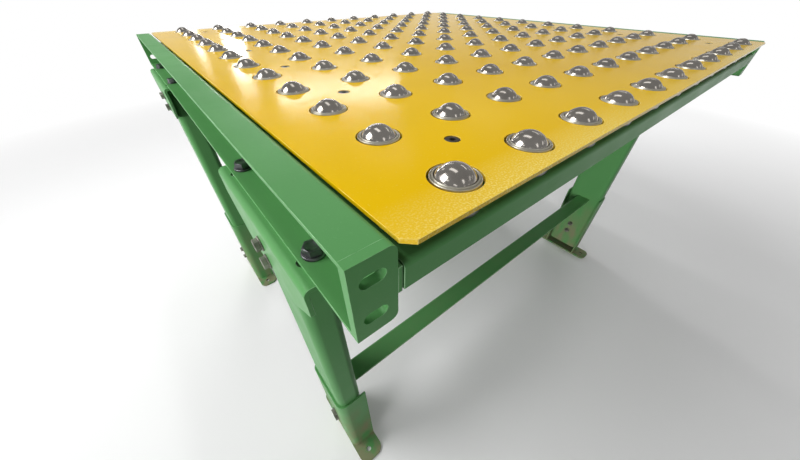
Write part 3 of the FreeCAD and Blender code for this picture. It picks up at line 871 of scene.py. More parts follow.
class TreeBench:
    """A Geometry Nodes tree with named inputs, which ends in real geometry and a material.

    Attributes:
        tree: The node tree.
        entry: The node that gives the inputs.
        exit: The node that takes the result.
        identifiers: Each input's identifier, by its name.
    """

    def __init__(self, name: str) -> None:
        """Starts the tree.

        Args:
            name: The tree's name.
        """
        self.tree = bpy.data.node_groups.new(name, "GeometryNodeTree")
        self.tree.interface.new_socket("Geometry", in_out="OUTPUT", socket_type="NodeSocketGeometry")
        self.entry = self.tree.nodes.new("NodeGroupInput")
        self.exit = self.tree.nodes.new("NodeGroupOutput")
        self.identifiers: dict[str, str] = {}

    def ask(self, name: str, kind: str) -> Socket:
        """Adds a named input.

        Args:
            name: The input's name.
            kind: What it takes, such as Float or Geometry.

        Returns:
            The input's socket inside the tree.
        """
        item = self.tree.interface.new_socket(name, in_out="INPUT", socket_type=f"NodeSocket{kind}")
        self.identifiers[name] = item.identifier
        return self.entry.outputs[name]

    def add(self, kind: str, inputs: dict[str | int, object], **settings: object) -> bpy.types.Node:
        """Adds a node.

        Args:
            kind: The node's type.
            inputs: Sockets or plain values, by the name or number of the node's input.
            **settings: Properties of the node, by name.

        Returns:
            The new node.
        """
        node = self.tree.nodes.new(kind)
        for name, value in settings.items():
            setattr(node, name, value)
        for key, value in inputs.items():
            if isinstance(value, bpy.types.NodeSocket):
                self.tree.links.new(value, node.inputs[key])
            else:
                node.inputs[key].default_value = value
        return node

    def join(self, *parts: Socket) -> Socket:
        """Joins several geometries into one.

        Args:
            *parts: The geometries.

        Returns:
            All of them together.
        """
        node = self.tree.nodes.new("GeometryNodeJoinGeometry")
        for part in parts:
            self.tree.links.new(part, node.inputs["Geometry"])
        return node.outputs["Geometry"]

    def close(self, geometry: Socket) -> None:
        """Ends the tree in real, smooth geometry with a material.

        Args:
            geometry: What the tree has made.
        """
        material = self.ask("Finish", "Material")
        real = self.add("GeometryNodeRealizeInstances", {"Geometry": geometry})
        shade = self.add("GeometryNodeSetShadeSmooth", {"Geometry": real.outputs[0], "Shade Smooth": True})
        coat = self.add("GeometryNodeSetMaterial", {"Geometry": shade.outputs[0], "Material": material})
        self.tree.links.new(coat.outputs["Geometry"], self.exit.inputs["Geometry"])

    def run(self, piece: bpy.types.Object, values: dict[str, object]) -> None:
        """Runs the tree on a piece and keeps the result as its plain mesh.

        Args:
            piece: The piece to work on.
            values: A value for each input, by name.
        """
        modifier = piece.modifiers.new(self.tree.name, "NODES")
        modifier.node_group = self.tree
        for name, value in values.items():
            modifier[self.identifiers[name]] = value
        settle(piece)


def perforation_tree() -> TreeBench:
    """Makes the tree that fills an outline, with two grids of round holes left open, and thickens it.

    Returns:
        The finished tree.
    """
    bench = TreeBench("perforated plate")
    outline = bench.ask("Outline", "Geometry")
    rim = bench.add("GeometryNodeMeshToCurve", {"Mesh": outline}).outputs["Curve"]
    curves = [rim]
    for label in ("Ball", "Screw"):
        grid = bench.add("GeometryNodeMeshGrid", {
            "Size X": bench.ask(f"{label} field width", "Float"),
            "Size Y": bench.ask(f"{label} field length", "Float"),
            "Vertices X": bench.ask(f"{label} columns", "Int"),
            "Vertices Y": bench.ask(f"{label} rows", "Int"),
        })
        circle = bench.add("GeometryNodeCurvePrimitiveCircle", {
            "Resolution": bench.ask(f"{label} hole sides", "Int"),
            "Radius": bench.ask(f"{label} hole radius", "Float"),
        })
        holes = bench.add("GeometryNodeInstanceOnPoints", {
            "Points": grid.outputs["Mesh"],
            "Instance": circle.outputs["Curve"],
        })
        curves.append(bench.add("GeometryNodeRealizeInstances", {"Geometry": holes.outputs[0]}).outputs[0])
    filled = bench.add("GeometryNodeFillCurve", {"Curve": bench.join(*curves)}).outputs["Mesh"]
    raised = bench.add("GeometryNodeExtrudeMesh", {
        "Mesh": filled,
        "Offset Scale": bench.ask("Thickness", "Float"),
        "Individual": False,
    }, mode="FACES")
    under = bench.add("GeometryNodeFlipFaces", {"Mesh": filled})
    closed = bench.add("GeometryNodeMergeByDistance", {
        "Geometry": bench.join(raised.outputs["Mesh"], under.outputs["Mesh"]),
        "Distance": MERGE,
    })
    lifted = bench.add("GeometryNodeTransform", {
        "Geometry": closed.outputs["Geometry"],
        "Translation": bench.ask("Underside", "Vector"),
    })
    bench.close(lifted.outputs["Geometry"])
    return bench


def ball_row_tree() -> TreeBench:
    """Makes the tree that sets a row of equal balls along the X axis.

    Returns:
        The finished tree.
    """
    bench = TreeBench("ball row")
    line = bench.add("GeometryNodeMeshLine", {
        "Count": bench.ask("Balls", "Int"),
        "Start Location": bench.ask("First ball", "Vector"),
        "Offset": bench.ask("Step", "Vector"),
    })
    ball = bench.add("GeometryNodeMeshIcoSphere", {
        "Radius": bench.ask("Ball radius", "Float"),
        "Subdivisions": bench.ask("Roundness", "Int"),
    })
    row = bench.add("GeometryNodeInstanceOnPoints", {
        "Points": line.outputs["Mesh"],
        "Instance": ball.outputs["Mesh"],
    })
    bench.close(row.outputs["Instances"])
    return bench


def crown_field_tree() -> TreeBench:
    """Makes the tree that repeats one crown cap over the whole grid, each turned by chance.

    Returns:
        The finished tree.
    """
    bench = TreeBench("crown field")
    crown = bench.ask("Crown", "Geometry")
    grid = bench.add("GeometryNodeMeshGrid", {
        "Size X": bench.ask("Field width", "Float"),
        "Size Y": bench.ask("Field length", "Float"),
        "Vertices X": bench.ask("Columns", "Int"),
        "Vertices Y": bench.ask("Rows", "Int"),
    })
    spin = bench.add("FunctionNodeRandomValue", {
        "Max": (0.0, 0.0, math.tau),
        "Seed": bench.ask("Seed", "Int"),
    }, data_type="FLOAT_VECTOR")
    field = bench.add("GeometryNodeInstanceOnPoints", {
        "Points": grid.outputs["Mesh"],
        "Instance": crown,
        "Rotation": spin.outputs[0],
    })
    bench.close(field.outputs["Instances"])
    return bench


def fastener_tree() -> TreeBench:
    """Makes the tree that sets one fastener at every marked spot, facing as marked and spun by chance.

    Returns:
        The finished tree.
    """
    bench = TreeBench("fasteners")
    spots = bench.ask("Spots", "Geometry")
    model = bench.add("GeometryNodeObjectInfo", {"Object": bench.ask("Fastener", "Object")})
    facing = bench.add("GeometryNodeInputNamedAttribute", {"Name": "facing"}, data_type="FLOAT_VECTOR")
    turn = bench.add("FunctionNodeEulerToRotation", {"Euler": facing.outputs["Attribute"]})
    angle = bench.add("FunctionNodeRandomValue", {
        "Max": bench.ask("Spin", "Float"),
        "Seed": bench.ask("Seed", "Int"),
    }, data_type="FLOAT")
    chance = bench.add("FunctionNodeAxisAngleToRotation", {
        "Axis": (0.0, 0.0, 1.0),
        "Angle": next(socket for socket in angle.outputs if socket.enabled),
    })
    both = bench.add("FunctionNodeRotateRotation", {
        "Rotation": turn.outputs["Rotation"],
        "Rotate By": chance.outputs["Rotation"],
    }, rotation_space="LOCAL")
    set_out = bench.add("GeometryNodeInstanceOnPoints", {
        "Points": spots,
        "Instance": model.outputs["Geometry"],
        "Rotation": both.outputs["Rotation"],
    })
    bench.close(set_out.outputs["Instances"])
    return bench


def hexagon_reach(angle: float) -> float:
    """Gives how far a hexagon that is two wide across its flats reaches at an angle."""
    within = angle % (math.pi / 3) - math.pi / 6
    return 1.0 / math.cos(within)


def ring(
    solid: bmesh.types.BMesh, sides: int, radius: float, level: float, six: float
) -> list[bmesh.types.BMVert]:
    """Makes one ring of points, between a circle and a hexagon.

    Args:
        solid: The mesh to add to.
        sides: Steps round the ring.
        radius: The circle's radius, or half the hexagon's width across flats.
        level: Height of the ring.
        six: Zero for a circle, one for a hexagon.

    Returns:
        The ring's points.
    """
    points = []
    for step in range(sides):
        angle = math.tau * step / sides
        reach = radius * (1.0 + six * (hexagon_reach(angle) - 1.0))
        points.append(solid.verts.new((reach * math.cos(angle), reach * math.sin(angle), level)))
    return points


def join_rings(solid: bmesh.types.BMesh, rings: Sequence[Sequence[bmesh.types.BMVert]]) -> None:
    """Joins rings of points into a skin.

    Args:
        solid: The mesh that the points are in.
        rings: Rings of equally many points, in order.
    """
    sides = len(rings[0])
    for lower, upper in zip(rings, rings[1:]):
        for step in range(sides):
            after = (step + 1) % sides
            solid.faces.new((lower[step], lower[after], upper[after], upper[step]))


def close_rings(solid: bmesh.types.BMesh, rings: Sequence[Sequence[bmesh.types.BMVert]]) -> None:
    """Joins rings of points into a skin and closes both ends.

    Args:
        solid: The mesh that the points are in.
        rings: Rings of equally many points, in order.
    """
    join_rings(solid, rings)
    solid.faces.new(list(rings[0]))
    solid.faces.new(list(rings[-1]))


def smooth_mesh(solid: bmesh.types.BMesh, name: str, crease: float = 30.0) -> bpy.types.Mesh:
    """Turns a worked mesh into mesh data with crisp creases, and frees it.

    Args:
        solid: The worked mesh.
        name: The new mesh's name.
        crease: Angle in degrees above which an edge stays crisp.

    Returns:
        The mesh, faces outwards.
    """
    bmesh.ops.recalc_face_normals(solid, faces=solid.faces)
    for face in solid.faces:
        face.smooth = True
    for edge in solid.edges:
        edge.smooth = edge.calc_face_angle(0.0) < math.radians(crease)
    mesh = bpy.data.meshes.new(name)
    solid.to_mesh(mesh)
    solid.free()
    return mesh


def set_fasteners(
    name: str,
    model: bpy.types.Mesh,
    spots: Sequence[Sequence[float]],
    facings: Sequence[Vector],
    material: bpy.types.Material,
    seed: int,
) -> bpy.types.Object:
    """Sets one fastener at every spot.

    Args:
        name: The new piece's name.
        model: The fastener's mesh, with its axis along Z.
        spots: Where the model's origin goes.
        facings: Where the model's axis points.
        material: The fastener's finish.
        seed: Seed for the chance spin.

    Returns:
        The new piece.
    """
    mesh = bpy.data.meshes.new(name)
    mesh.from_pydata([tuple(spot) for spot in spots], [], [])
    layer = mesh.attributes.new("facing", "FLOAT_VECTOR", "POINT")
    for index, facing in enumerate(facings):
        layer.data[index].vector = facing.to_track_quat("Z", "Y").to_euler()
    piece = new_piece(name, mesh)
    master = new_piece(f"{name}_model", model)
    fastener_tree().run(piece, {"Fastener": master, "Spin": math.tau, "Seed": seed, "Finish": material})
    bpy.data.objects.remove(master)
    apply_finish(piece, material)
    return piece


@dataclass(frozen=True)
class BallGrid:
    """How the ball units are laid out.

    Attributes:
        columns: Units across.
        rows: Units along.
        pitch: Distance from unit to unit.
    """

    columns: int = 11
    rows: int = 12
    pitch: float = 0.1

    @property
    def width(self) -> float:
        """Distance from the first column to the last."""
        return (self.columns - 1) * self.pitch

    @property
    def length(self) -> float:
        """Distance from the first row to the last."""
        return (self.rows - 1) * self.pitch


GRID = BallGrid()


@dataclass
class CoverPlate:
    """The yellow cover plate and the screws that hold it down.

    Attributes:
        corner_cut: Size of the cut at each corner.
        hole_radius: Radius of the hole round a ball unit.
        screw_radius: Radius of the hole over a screw.
        rim: Width of the rounding at the holes and the outer edge.
        screw_rows: Screws along each side.
        screw_gap: Distance from screw to screw.
        screw_reach: Distance from the middle line to the screws.
        ball_hole_sides: Steps round a ball hole.
        screw_hole_sides: Steps round a screw hole.
        screw_sides: Steps round a screw.
        screw_room: Gap between a screw's head and its hole.
        screw_sink: How far a screw's head lies below the plate's face.
        socket_flat: Half the width of a screw's socket across its flats.
        socket_depth: Depth of a screw's socket.
        shank_radius: Radius of a screw's shank.
        head_depth: Height of a screw's head.
        screw_length: Length of a screw.
        screw_seed: Seed for the chance spin of the screws.
    """

    corner_cut: float = 0.008
    hole_radius: float = 0.02269
    screw_radius: float = 0.008
    rim: float = 0.0007
    screw_rows: int = 6
    screw_gap: float = 0.2
    screw_reach: float = 0.45
    ball_hole_sides: int = 48
    screw_hole_sides: int = 32
    screw_sides: int = 24
    screw_room: float = 0.0006
    screw_sink: float = 0.0003
    socket_flat: float = 0.0029
    socket_depth: float = 0.0036
    shank_radius: float = 0.004
    head_depth: float = 0.0046
    screw_length: float = 0.0378
    screw_seed: int = 5

    def outline(self) -> bpy.types.Mesh:
        """Makes the plate's outer edge.

        Returns:
            A closed line round the origin.
        """
        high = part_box("deck_plate")[1]
        x, y, cut = high.x, high.y, self.corner_cut
        corners = [
            (x - cut, -y), (x, cut - y), (x, y - cut), (x - cut, y),
            (cut - x, y), (-x, y - cut), (-x, cut - y), (cut - x, -y),
        ]
        mesh = bpy.data.meshes.new("cover_outline")
        edges = [(index, (index + 1) % len(corners)) for index in range(len(corners))]
        mesh.from_pydata([(px, py, 0.0) for px, py in corners], edges, [])
        return mesh

    def build_plate(self, paint: bpy.types.Material) -> None:
        """Makes the perforated plate and rounds its rims.

        Args:
            paint: The plate's finish.
        """
        low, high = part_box("deck_plate")
        piece = new_piece("cover_plate", self.outline())
        perforation_tree().run(piece, {
            "Ball field width": GRID.width,
            "Ball field length": GRID.length,
            "Ball columns": GRID.columns,
            "Ball rows": GRID.rows,
            "Ball hole sides": self.ball_hole_sides,
            "Ball hole radius": self.hole_radius,
            "Screw field width": 2 * self.screw_reach,
            "Screw field length": (self.screw_rows - 1) * self.screw_gap,
            "Screw columns": 2,
            "Screw rows": self.screw_rows,
            "Screw hole sides": self.screw_hole_sides,
            "Screw hole radius": self.screw_radius,
            "Thickness": high.z - low.z,
            "Underside": (0.0, 0.0, low.z),
            "Finish": paint,
        })
        solid = bmesh.new()
        solid.from_mesh(piece.data)
        soften(solid, self.rim)
        solid.to_mesh(piece.data)
        solid.free()
        even_shading(piece)
        apply_finish(piece, paint)
        hand_over(piece, "deck_plate")

    def screw_head(self) -> bpy.types.Mesh:
        """Makes one sunk screw with a hexagon socket in its head.

        Returns:
            The screw, with its upper face at the origin.
        """
        top = self.screw_radius - self.screw_room
        neck = self.shank_radius
        length = self.screw_length
        socket = self.socket_flat
        deep = self.socket_depth
        solid = bmesh.new()
        levels = [
            (socket - 0.0008, -deep, 1.0), (socket, 0.0002 - deep, 1.0),
            (socket, -0.0002, 1.0), (socket + 0.0005, 0.0, 1.0),
            (top - 0.0006, 0.0, 0.0), (top, -0.0004, 0.0), (neck, -self.head_depth, 0.0),
            (neck, 0.001 - length, 0.0), (neck - 0.001, -length, 0.0),
        ]
        close_rings(solid, [ring(solid, self.screw_sides, *level) for level in levels])
        return smooth_mesh(solid, "cover_screw_model")

    def build_screws(self, zinc: bpy.types.Material) -> None:
        """Sets a screw into every screw hole.

        Args:
            zinc: The screws' finish.
        """
        model = self.screw_head()
        spots = []
        for low, high in separate_boxes("deck_screws"):
            spots.append(((low.x + high.x) / 2, (low.y + high.y) / 2, high.z - self.screw_sink))
        piece = set_fasteners("cover_screws", model, spots, [UP] * len(spots), zinc, self.screw_seed)
        hand_over(piece, "deck_screws")

    def build(self, paint: bpy.types.Material, zinc: bpy.types.Material) -> None:
        """Builds the plate and everything that holds it.

        Args:
            paint: The plate's finish.
            zinc: The finish of screws, nuts and spacers.
        """
        self.build_plate(paint)
        self.build_screws(zinc)
        repaint("deck_nuts", zinc)
        repaint("deck_spacers", zinc)


@dataclass
class BallField:
    """The ball units: the rows of balls, the crown caps over them, and the cups and beds below.

    Attributes:
        ball_radius: Radius of a ball.
        roundness: Subdivisions of a ball's mesh.
        crown_sides: Steps round a crown cap.
        crown_seed: Seed for the chance turn of the crown caps.
    """

    ball_radius: float = 0.019
    roundness: int = 4
    crown_sides: int = 36
    crown_seed: int = 11

    def build_balls(self, steel: bpy.types.Material) -> None:
        """Makes one piece of each row of balls.

        Args:
            steel: The balls' finish.
        """
        tree = ball_row_tree()
        for number in range(1, GRID.rows + 1):
            node = f"ball_row_{number:02d}"
            low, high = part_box(node)
            piece = new_piece(f"balls_{number:02d}", bpy.data.meshes.new(f"balls_{number:02d}"))
            first = (-GRID.width / 2, (low.y + high.y) / 2, high.z - self.ball_radius)
            tree.run(piece, {
                "Balls": GRID.columns,
                "First ball": first,
                "Step": (GRID.pitch, 0.0, 0.0),
                "Ball radius": self.ball_radius,
                "Roundness": self.roundness,
                "Finish": steel,
            })
            apply_finish(piece, steel)
            hand_over(piece, node)

    def crown_profile(self) -> list[tuple[float, float]]:
        """Gives the outline of a crown cap: a sloped wall, a rim, a groove and a rolled lip.

        Returns:
            Radius and height of each point of the outline.
        """
        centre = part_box("ball_row_01")[1].z - self.ball_radius
        millimetres = [
            (23.4, -3.95), (23.1, -2.6), (21.7, 1.0), (20.95, 4.6), (20.9, 7.3), (20.75, 8.3), (20.3, 8.75),
            (19.75, 8.55), (19.45, 7.3), (19.0, 6.9), (18.75, 7.3), (18.6, 8.9), (18.2, 9.5), (17.65, 9.45),
            (17.35, 8.85), (17.75, 7.5), (18.3, 6.0), (18.8, 4.6), (19.55, 0.6), (19.95, -3.95),
        ]
        return [(radius / 1000, centre + level / 1000) for radius, level in millimetres]

    def build_crowns(self, chrome: bpy.types.Material) -> None:
        """Makes every crown cap, in one piece of the frame.

        Args:
            chrome: The caps' finish.
        """
        piece = new_piece("crowns", lathe("crowns", self.crown_profile(), self.crown_sides))
        crown_field_tree().run(piece, {
            "Field width": GRID.width,
            "Field length": GRID.length,
            "Columns": GRID.columns,
            "Rows": GRID.rows,
            "Seed": self.crown_seed,
            "Finish": chrome,
        })
        apply_finish(piece, chrome)
        hand_over(piece, "crown_caps")

    def build(
        self,
        steel: bpy.types.Material,
        chrome: bpy.types.Material,
        zinc: bpy.types.Material,
        bearing: bpy.types.Material,
    ) -> None:
        """Builds and dresses every ball unit.

        Args:
            steel: The balls' finish.
            chrome: The crown caps' finish.
            zinc: The cups' finish.
            bearing: The bearing beds' finish.
        """
        self.build_balls(steel)
        self.build_crowns(chrome)
        repaint("ball_cups", zinc)
        repaint("bearing_beds", bearing)


class Corner(Enum):
    """A corner of the table, as its pieces are named."""

    LEFT_NEAR = "left_near"
    LEFT_FAR = "left_far"
    RIGHT_NEAR = "right_near"
    RIGHT_FAR = "right_far"


@dataclass
class SideFrame:
    """The folded rails, their end plates, and the cross channels between them.

    Attributes:
        fold_edge: Rounding of a cut edge of folded sheet.
        plate_edge: Rounding of a cut edge of thick plate.
        channels: Number of cross channels.
    """

    fold_edge: float = 0.0006
    plate_edge: float = 0.001
    channels: int = 6

    def build(self, paint: bpy.types.Material) -> None:
        """Builds and dresses the frame.

        Args:
            paint: The frame's finish.
        """
        sheets = ["left_rail", "right_rail", "channel_cleats"]
        sheets += [f"cross_channel_{number}" for number in range(1, self.channels + 1)]
        for node in sheets:
            painted_copy(node, self.fold_edge, paint)
        for corner in Corner:
            painted_copy(f"{corner.value}_end_plate", self.plate_edge, paint)


@dataclass
class Stand:
    """The brackets under the rails, the legs, their feet and the braces between them.

    Attributes:
        sheet_edge: Rounding of a cut edge of sheet.
        tube_edge: Rounding of a cut edge of a box section.
    """

    sheet_edge: float = 0.0007
    tube_edge: float = 0.0005

    def build(self, paint: bpy.types.Material) -> None:
        """Builds and dresses both stands.

        Args:
            paint: The stands' finish.
        """
        jobs = [("near_brace", self.sheet_edge), ("far_brace", self.sheet_edge)]
        for corner in Corner:
            jobs.append((f"{corner.value}_bracket", self.sheet_edge))
            jobs.append((f"{corner.value}_leg", self.tube_edge))
            jobs.append((f"{corner.value}_foot", self.sheet_edge))
        for node, width in jobs:
            painted_copy(node, width, paint)


class Axis(Enum):
    """The way that a set of bolts points."""

    UPRIGHT = "upright"
    OUTWARD = "outward"


@dataclass
class BoltSet:
    """A set of equal bolts with their nuts and washers.

    Attributes:
        label: What the set holds, as its CAD nodes are named.
        axis: The way that the bolt heads point.
        size: The bolt's thread diameter. The shares below are shares of it.
        seed: Seed for the chance spin of the set.
        flat_share: Half the width across flats.
        head_share: Height of a bolt's head.
        nut_share: Height of a nut.
        nut_bore_share: Radius of a nut's bore.
        washer_share: Thickness of a washer.
        washer_bore_share: Radius of a washer's bore.
        thread_share: Rise of one turn of the thread.
        tip_share: Length of thread at the tip of a bolt.
        washer_seat: Gap below a washer, in metres.
        sides: Steps round a bolt or nut.
        washer_sides: Steps round a washer.
    """

    label: str
    axis: Axis
    size: float
    seed: int
    flat_share: float = 0.723
    head_share: float = 0.625
    nut_share: float = 0.85
    nut_bore_share: float = 0.505
    washer_share: float = 0.2
    washer_bore_share: float = 0.54
    thread_share: float = 0.15
    tip_share: float = 0.9
    washer_seat: float = 0.00006
    sides: int = 24
    washer_sides: int = 36

    def facing(self, middle: Vector) -> Vector:
        """Gives the way that a bolt's head points.

        Args:
            middle: The middle of the bolt.

        Returns:
            A unit vector.
        """
        if self.axis is Axis.UPRIGHT:
            return UP
        return Vector((math.copysign(1.0, middle.x), 0.0, 0.0))

    def head_model(self, length: float) -> bpy.types.Mesh:
        """Makes a bolt with a chamfered and dished hexagon head, seated at the origin.

        Args:
            length: Length of the shank under the head.

        Returns:
            The bolt's mesh.
        """
        flat = self.size * self.flat_share
        tall = self.size * self.head_share
        shank = self.size / 2
        solid = bmesh.new()
        levels: list[tuple[float, float, float]] = [
            (flat * 0.5, tall * 0.9, 0.0), (flat * 0.62, tall * 0.97, 0.0), (flat * 0.7, tall, 0.0),
            (flat * 0.95, tall, 0.0), (flat, tall - flat * 0.05, 1.0), (flat, tall * 0.06, 1.0),
            (flat * 0.97, 0.0, 0.5), (shank, 0.0, 0.0),
        ]
        rings = [ring(solid, self.sides, *level) for level in levels]
        thread = self.size * self.thread_share
        level = length - self.size * self.tip_share
        while level < length - thread * 1.5:
            rings.append(ring(solid, self.sides, shank, -level, 0.0))
            rings.append(ring(solid, self.sides, shank * 0.9, -(level + thread * 0.5), 0.0))
            level += thread
        rings.append(ring(solid, self.sides, shank * 0.95, -(length - thread), 0.0))
        rings.append(ring(solid, self.sides, shank * 0.78, -length, 0.0))
        close_rings(solid, rings)
        return smooth_mesh(solid, f"{self.label}_bolt_model")

    def nut_model(self) -> bpy.types.Mesh:
        """Makes a hexagon nut, chamfered on both sides.

        Returns:
            The nut, with its underside at the origin.
        """
        flat = self.size * self.flat_share
        tall = self.size * self.nut_share
        bore = self.size * self.nut_bore_share
        solid = bmesh.new()
        levels = [
            (bore, tall * 0.02, 0.0), (bore * 1.12, 0.0, 0.0), (flat * 0.95, 0.0, 0.0),
            (flat, tall * 0.07, 1.0), (flat, tall * 0.93, 1.0),
            (flat * 0.95, tall, 0.0), (bore * 1.12, tall, 0.0), (bore, tall * 0.94, 0.0),
        ]
        rings = [ring(solid, self.sides, *level) for level in levels]
        join_rings(solid, [*rings, rings[0]])
        return smooth_mesh(solid, f"{self.label}_nut_model")

    def washer_model(self) -> bpy.types.Mesh:
        """Makes a flat washer with rounded rims.

        Returns:
            The washer, with its seat at the origin.
        """
        outer = self.size
        bore = self.size * self.washer_bore_share
        tall = self.size * self.washer_share
        seat = self.washer_seat
        profile = [
            (bore, tall * 0.12), (bore * 1.03, seat), (outer * 0.975, seat), (outer, tall * 0.2),
            (outer, tall * 0.72), (outer * 0.96, tall), (bore * 1.05, tall), (bore, tall * 0.86),
        ]
        return lathe(f"{self.label}_washer_model", profile, self.washer_sides)

    def build(self, steel: bpy.types.Material) -> None:
        """Sets the bolts, nuts and washers where the CAD has them.

        Args:
            steel: The finish of the whole set.
        """
        depth = self.size * self.head_share
        length = 0.0
        for kind, model in (("bolts", None), ("nuts", self.nut_model), ("washers", self.washer_model)):
            node = f"{self.label}_{kind}"
            spots = []
            facings = []
            for low, high in separate_boxes(node):
                middle = (low + high) / 2
                way = self.facing(middle)
                half = abs((high - low).dot(way)) / 2
                if kind == "bolts":
                    spots.append(middle + way * (half - depth))
                    length = 2 * half - depth
                else:
                    spots.append(middle - way * half)
                facings.append(way)
            mesh = self.head_model(length) if model is None else model()
            piece = set_fasteners(f"{node}_turned", mesh, spots, facings, steel, self.seed)
            hand_over(piece, node)


class LampUse(Enum):
    """What a lamp does for the picture."""

    LIGHT = "lights the surfaces"
    GLEAM = "shows only as a gleam on gloss and metal"
    BOTH = "lights the surfaces and gleams on them"


@dataclass(frozen=True)
class Lamp:
    """One soft lamp.

    Attributes:
        name: The lamp's name.
        place: Where it hangs.
        aim: What it points at.
        size: Its width and height.
        watts: Its power.
        use: Whether it lights the table, gleams on it, or both.
    """

    name: str
    place: tuple[float, float, float]
    aim: tuple[float, float, float]
    size: tuple[float, float]
    watts: float
    use: LampUse = LampUse.LIGHT

    def hang(self) -> None:
        """Puts the lamp into the scene."""
        data = bpy.data.lights.new(self.name, "AREA")
        data.shape = "RECTANGLE"
        data.size, data.size_y = self.size
        data.energy = self.watts
        lamp = bpy.data.objects.new(self.name, data)
        lamp.location = self.place
        lamp.visible_glossy = self.use is not LampUse.LIGHT
        lamp.visible_diffuse = self.use is not LampUse.GLEAM
        lamp.rotation_euler = (Vector(self.aim) - Vector(self.place)).to_track_quat("-Z", "Y").to_euler()
        bpy.context.scene.collection.objects.link(lamp)


GLEAM_SPOT = (-0.45, -0.3, 0.84)
LAMPS = (
    Lamp("left_panel", (-2.4, 1.0, 2.7), (0.0, 0.0, 0.6), (1.6, 1.4), 50.0, LampUse.BOTH),
    Lamp("low_panel", (-6.0, -2.0, 0.9), (0.3, -0.4, 0.4), (2.4, 1.2), 230.0),
    Lamp("back_panel", (0.8, 3.0, 2.0), (-0.2, 0.0, 0.8), (1.3, 0.9), 20.0),
    Lamp("tube", (0.95, 2.35, 1.62), GLEAM_SPOT, (1.3, 0.1), 4.4, LampUse.GLEAM),
    Lamp("window_1", (0.4, 3.85, 1.35), GLEAM_SPOT, (0.2, 0.4), 3.6, LampUse.GLEAM),
    Lamp("window_2", (0.05, 4.1, 1.2), GLEAM_SPOT, (0.07, 0.3), 0.504, LampUse.GLEAM),
    Lamp("right_panel", (3.2, 0.4, 1.1), (0.0, 0.0, 0.5), (1.6, 1.0), 16.0),
)


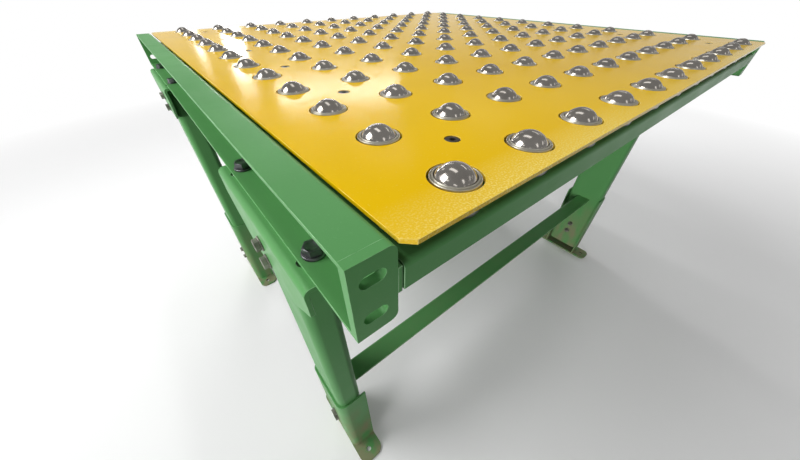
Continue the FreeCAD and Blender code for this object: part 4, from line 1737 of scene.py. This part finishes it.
@dataclass
class Studio:
    """The floor, the lights and the camera.

    Attributes:
        eye: Where the camera stands.
        bearing: Where it looks, in degrees from the X axis.
        dip: How far it looks down, in degrees.
        lens: Focal length in millimetres.
        sensor: Width of the camera's frame in millimetres.
        rise: Upward shift of the picture, as a share of its width.
        reach: Nearest and farthest distance that the camera sees.
        floor_radius: Radius of the floor.
        floor_sides: Steps round the floor.
        floor_gap: How far the floor lies below the feet.
        strip_rows: Where the rows of ceiling strips hang, across.
        strip_steps: Where the strips of a row hang, along.
        strip_slant: How far a row moves along for each metre across.
        strip_height: Height of the strips.
        strip_size: Width and length of a strip.
        strip_watts: Power of a strip.
        fill: Strength of the even light from all round.
        ceiling: Brightness of the ceiling that metal sees.
        horizon: Upward share of a view over which white gives way to that ceiling.
        lamp_glow: Brightness of the rows of lamps on that ceiling.
        lamp_rise: Upward share of a view over which those lamps come in.
        lowest: Least upward share that the rows are laid out with.
        row_gap: Distance between those rows, in heights of the ceiling.
        row_share: Share of that distance that a lamp fills.
        lamp_gap: Distance between the lamps of a row, in heights of the ceiling.
        lamp_share: Share of that distance that a lamp fills.
    """

    eye: tuple[float, float, float] = (-0.655, -0.674, 0.951)
    bearing: float = 51.0
    dip: float = 41.8
    lens: float = 12.85
    sensor: float = 36.0
    rise: float = 0.009
    reach: tuple[float, float] = (0.01, 200.0)
    floor_radius: float = 40.0
    floor_sides: int = 96
    floor_gap: float = 0.0003
    strip_rows: tuple[float, ...] = (-1.5, -0.7, 0.1, 0.9)
    strip_steps: tuple[float, ...] = (-0.3, 0.7, 1.7)
    strip_slant: float = 0.2
    strip_height: float = 2.5
    strip_size: tuple[float, float] = (0.12, 0.7)
    strip_watts: float = 2.6
    fill: float = 0.2
    ceiling: float = 0.28
    horizon: tuple[float, float] = (0.02, 0.16)
    lamp_glow: float = 1.3
    lamp_rise: tuple[float, float] = (0.2, 0.4)
    lowest: float = 0.1
    row_gap: float = 1.2
    row_share: float = 0.18
    lamp_gap: float = 1.5
    lamp_share: float = 0.45

    def build_floor(self) -> None:
        """Lays the floor."""
        solid = bmesh.new()
        bmesh.ops.create_circle(solid, cap_ends=True, radius=self.floor_radius, segments=self.floor_sides)
        for vert in solid.verts:
            vert.co.z = -self.floor_gap
        mesh = bpy.data.meshes.new("studio_floor")
        solid.to_mesh(mesh)
        solid.free()
        floor = new_piece("studio_floor", mesh)
        apply_finish(floor, PALE_FLOOR.mix())

    def build_lamps(self) -> None:
        """Hangs rows of ceiling strips, then the panels and the lamps that only gleam."""
        for row, across in enumerate(self.strip_rows, 1):
            for step, along in enumerate(self.strip_steps, 1):
                name = f"ceiling_strip_{row}_{step}"
                x, y = across, along + across * self.strip_slant
                Lamp(name, (x, y, self.strip_height), (x, y, 0.0), self.strip_size, self.strip_watts).hang()
        for lamp in LAMPS:
            lamp.hang()

    def build_world(self) -> None:
        """Makes white surroundings, an even fill, and a dim ceiling with lamps that only metal sees."""
        world = bpy.data.worlds.new("studio")
        bpy.context.scene.world = world
        world.use_nodes = True
        world.node_tree.nodes.clear()
        bench = ShaderBench(world.node_tree, "Generated")
        up = bench.along("Z")
        horizon = bench.spread(up, self.horizon, (1.0, self.ceiling))
        overhead = bench.sum("MAXIMUM", up, self.lowest)
        lit = bench.spread(up, self.lamp_rise, (0.0, self.lamp_glow))
        for axis, gap, share in (("X", self.row_gap, self.row_share), ("Y", self.lamp_gap, self.lamp_share)):
            spot = bench.sum("DIVIDE", bench.sum("DIVIDE", bench.along(axis), overhead), gap)
            on = bench.sum("LESS_THAN", bench.alone("FRACT", spot), share)
            lit = bench.sum("MULTIPLY", lit, on)
        hall = bench.add("ShaderNodeBackground")
        bench.feed(hall.inputs["Color"], bench.sum("ADD", horizon, lit))
        even = bench.add("ShaderNodeBackground")
        even.inputs["Color"].default_value = WHITE
        even.inputs["Strength"].default_value = self.fill
        white = bench.add("ShaderNodeBackground")
        white.inputs["Color"].default_value = WHITE
        light = bench.choose(bench.mirrored(), even.outputs["Background"], hall.outputs["Background"])
        shown = bench.choose(bench.in_view(), light, white.outputs["Background"])
        output = bench.add("ShaderNodeOutputWorld")
        bench.feed(output.inputs["Surface"], shown)

    def build_camera(self) -> None:
        """Sets up the camera."""
        data = bpy.data.cameras.new("camera")
        data.sensor_width = self.sensor
        data.lens = self.lens
        data.shift_y = self.rise
        data.clip_start, data.clip_end = self.reach
        camera = bpy.data.objects.new("camera", data)
        camera.location = self.eye
        camera.rotation_euler = (math.radians(90.0 - self.dip), 0.0, math.radians(self.bearing - 90.0))
        bpy.context.scene.collection.objects.link(camera)
        bpy.context.scene.camera = camera

    def build(self) -> None:
        """Sets up the whole studio."""
        self.build_camera()
        self.build_floor()
        self.build_lamps()
        self.build_world()
        bpy.context.scene.view_settings.view_transform = "Standard"


def main() -> None:
    """Builds the studio and every piece of the table."""
    logging.basicConfig(level=logging.INFO, format="%(message)s")
    Studio().build()
    yellow = YELLOW_PAINT.mix()
    green = GREEN_PAINT.mix()
    dusty = DUSTY_STEEL.mix()
    CoverPlate().build(yellow, FIXING_ZINC.mix())
    BallField().build(POLISHED_BALL.mix(), CROWN_CHROME.mix(), CUP_ZINC.mix(), BEARING_STEEL.mix())
    SideFrame().build(green)
    Stand().build(green)
    BoltSet("rail", Axis.UPRIGHT, 0.012, 21).build(DARK_STEEL.mix())
    BoltSet("leg", Axis.OUTWARD, 0.010, 22).build(dusty)
    BoltSet("foot", Axis.OUTWARD, 0.010, 23).build(dusty)


if __name__ == "__main__":
    main()
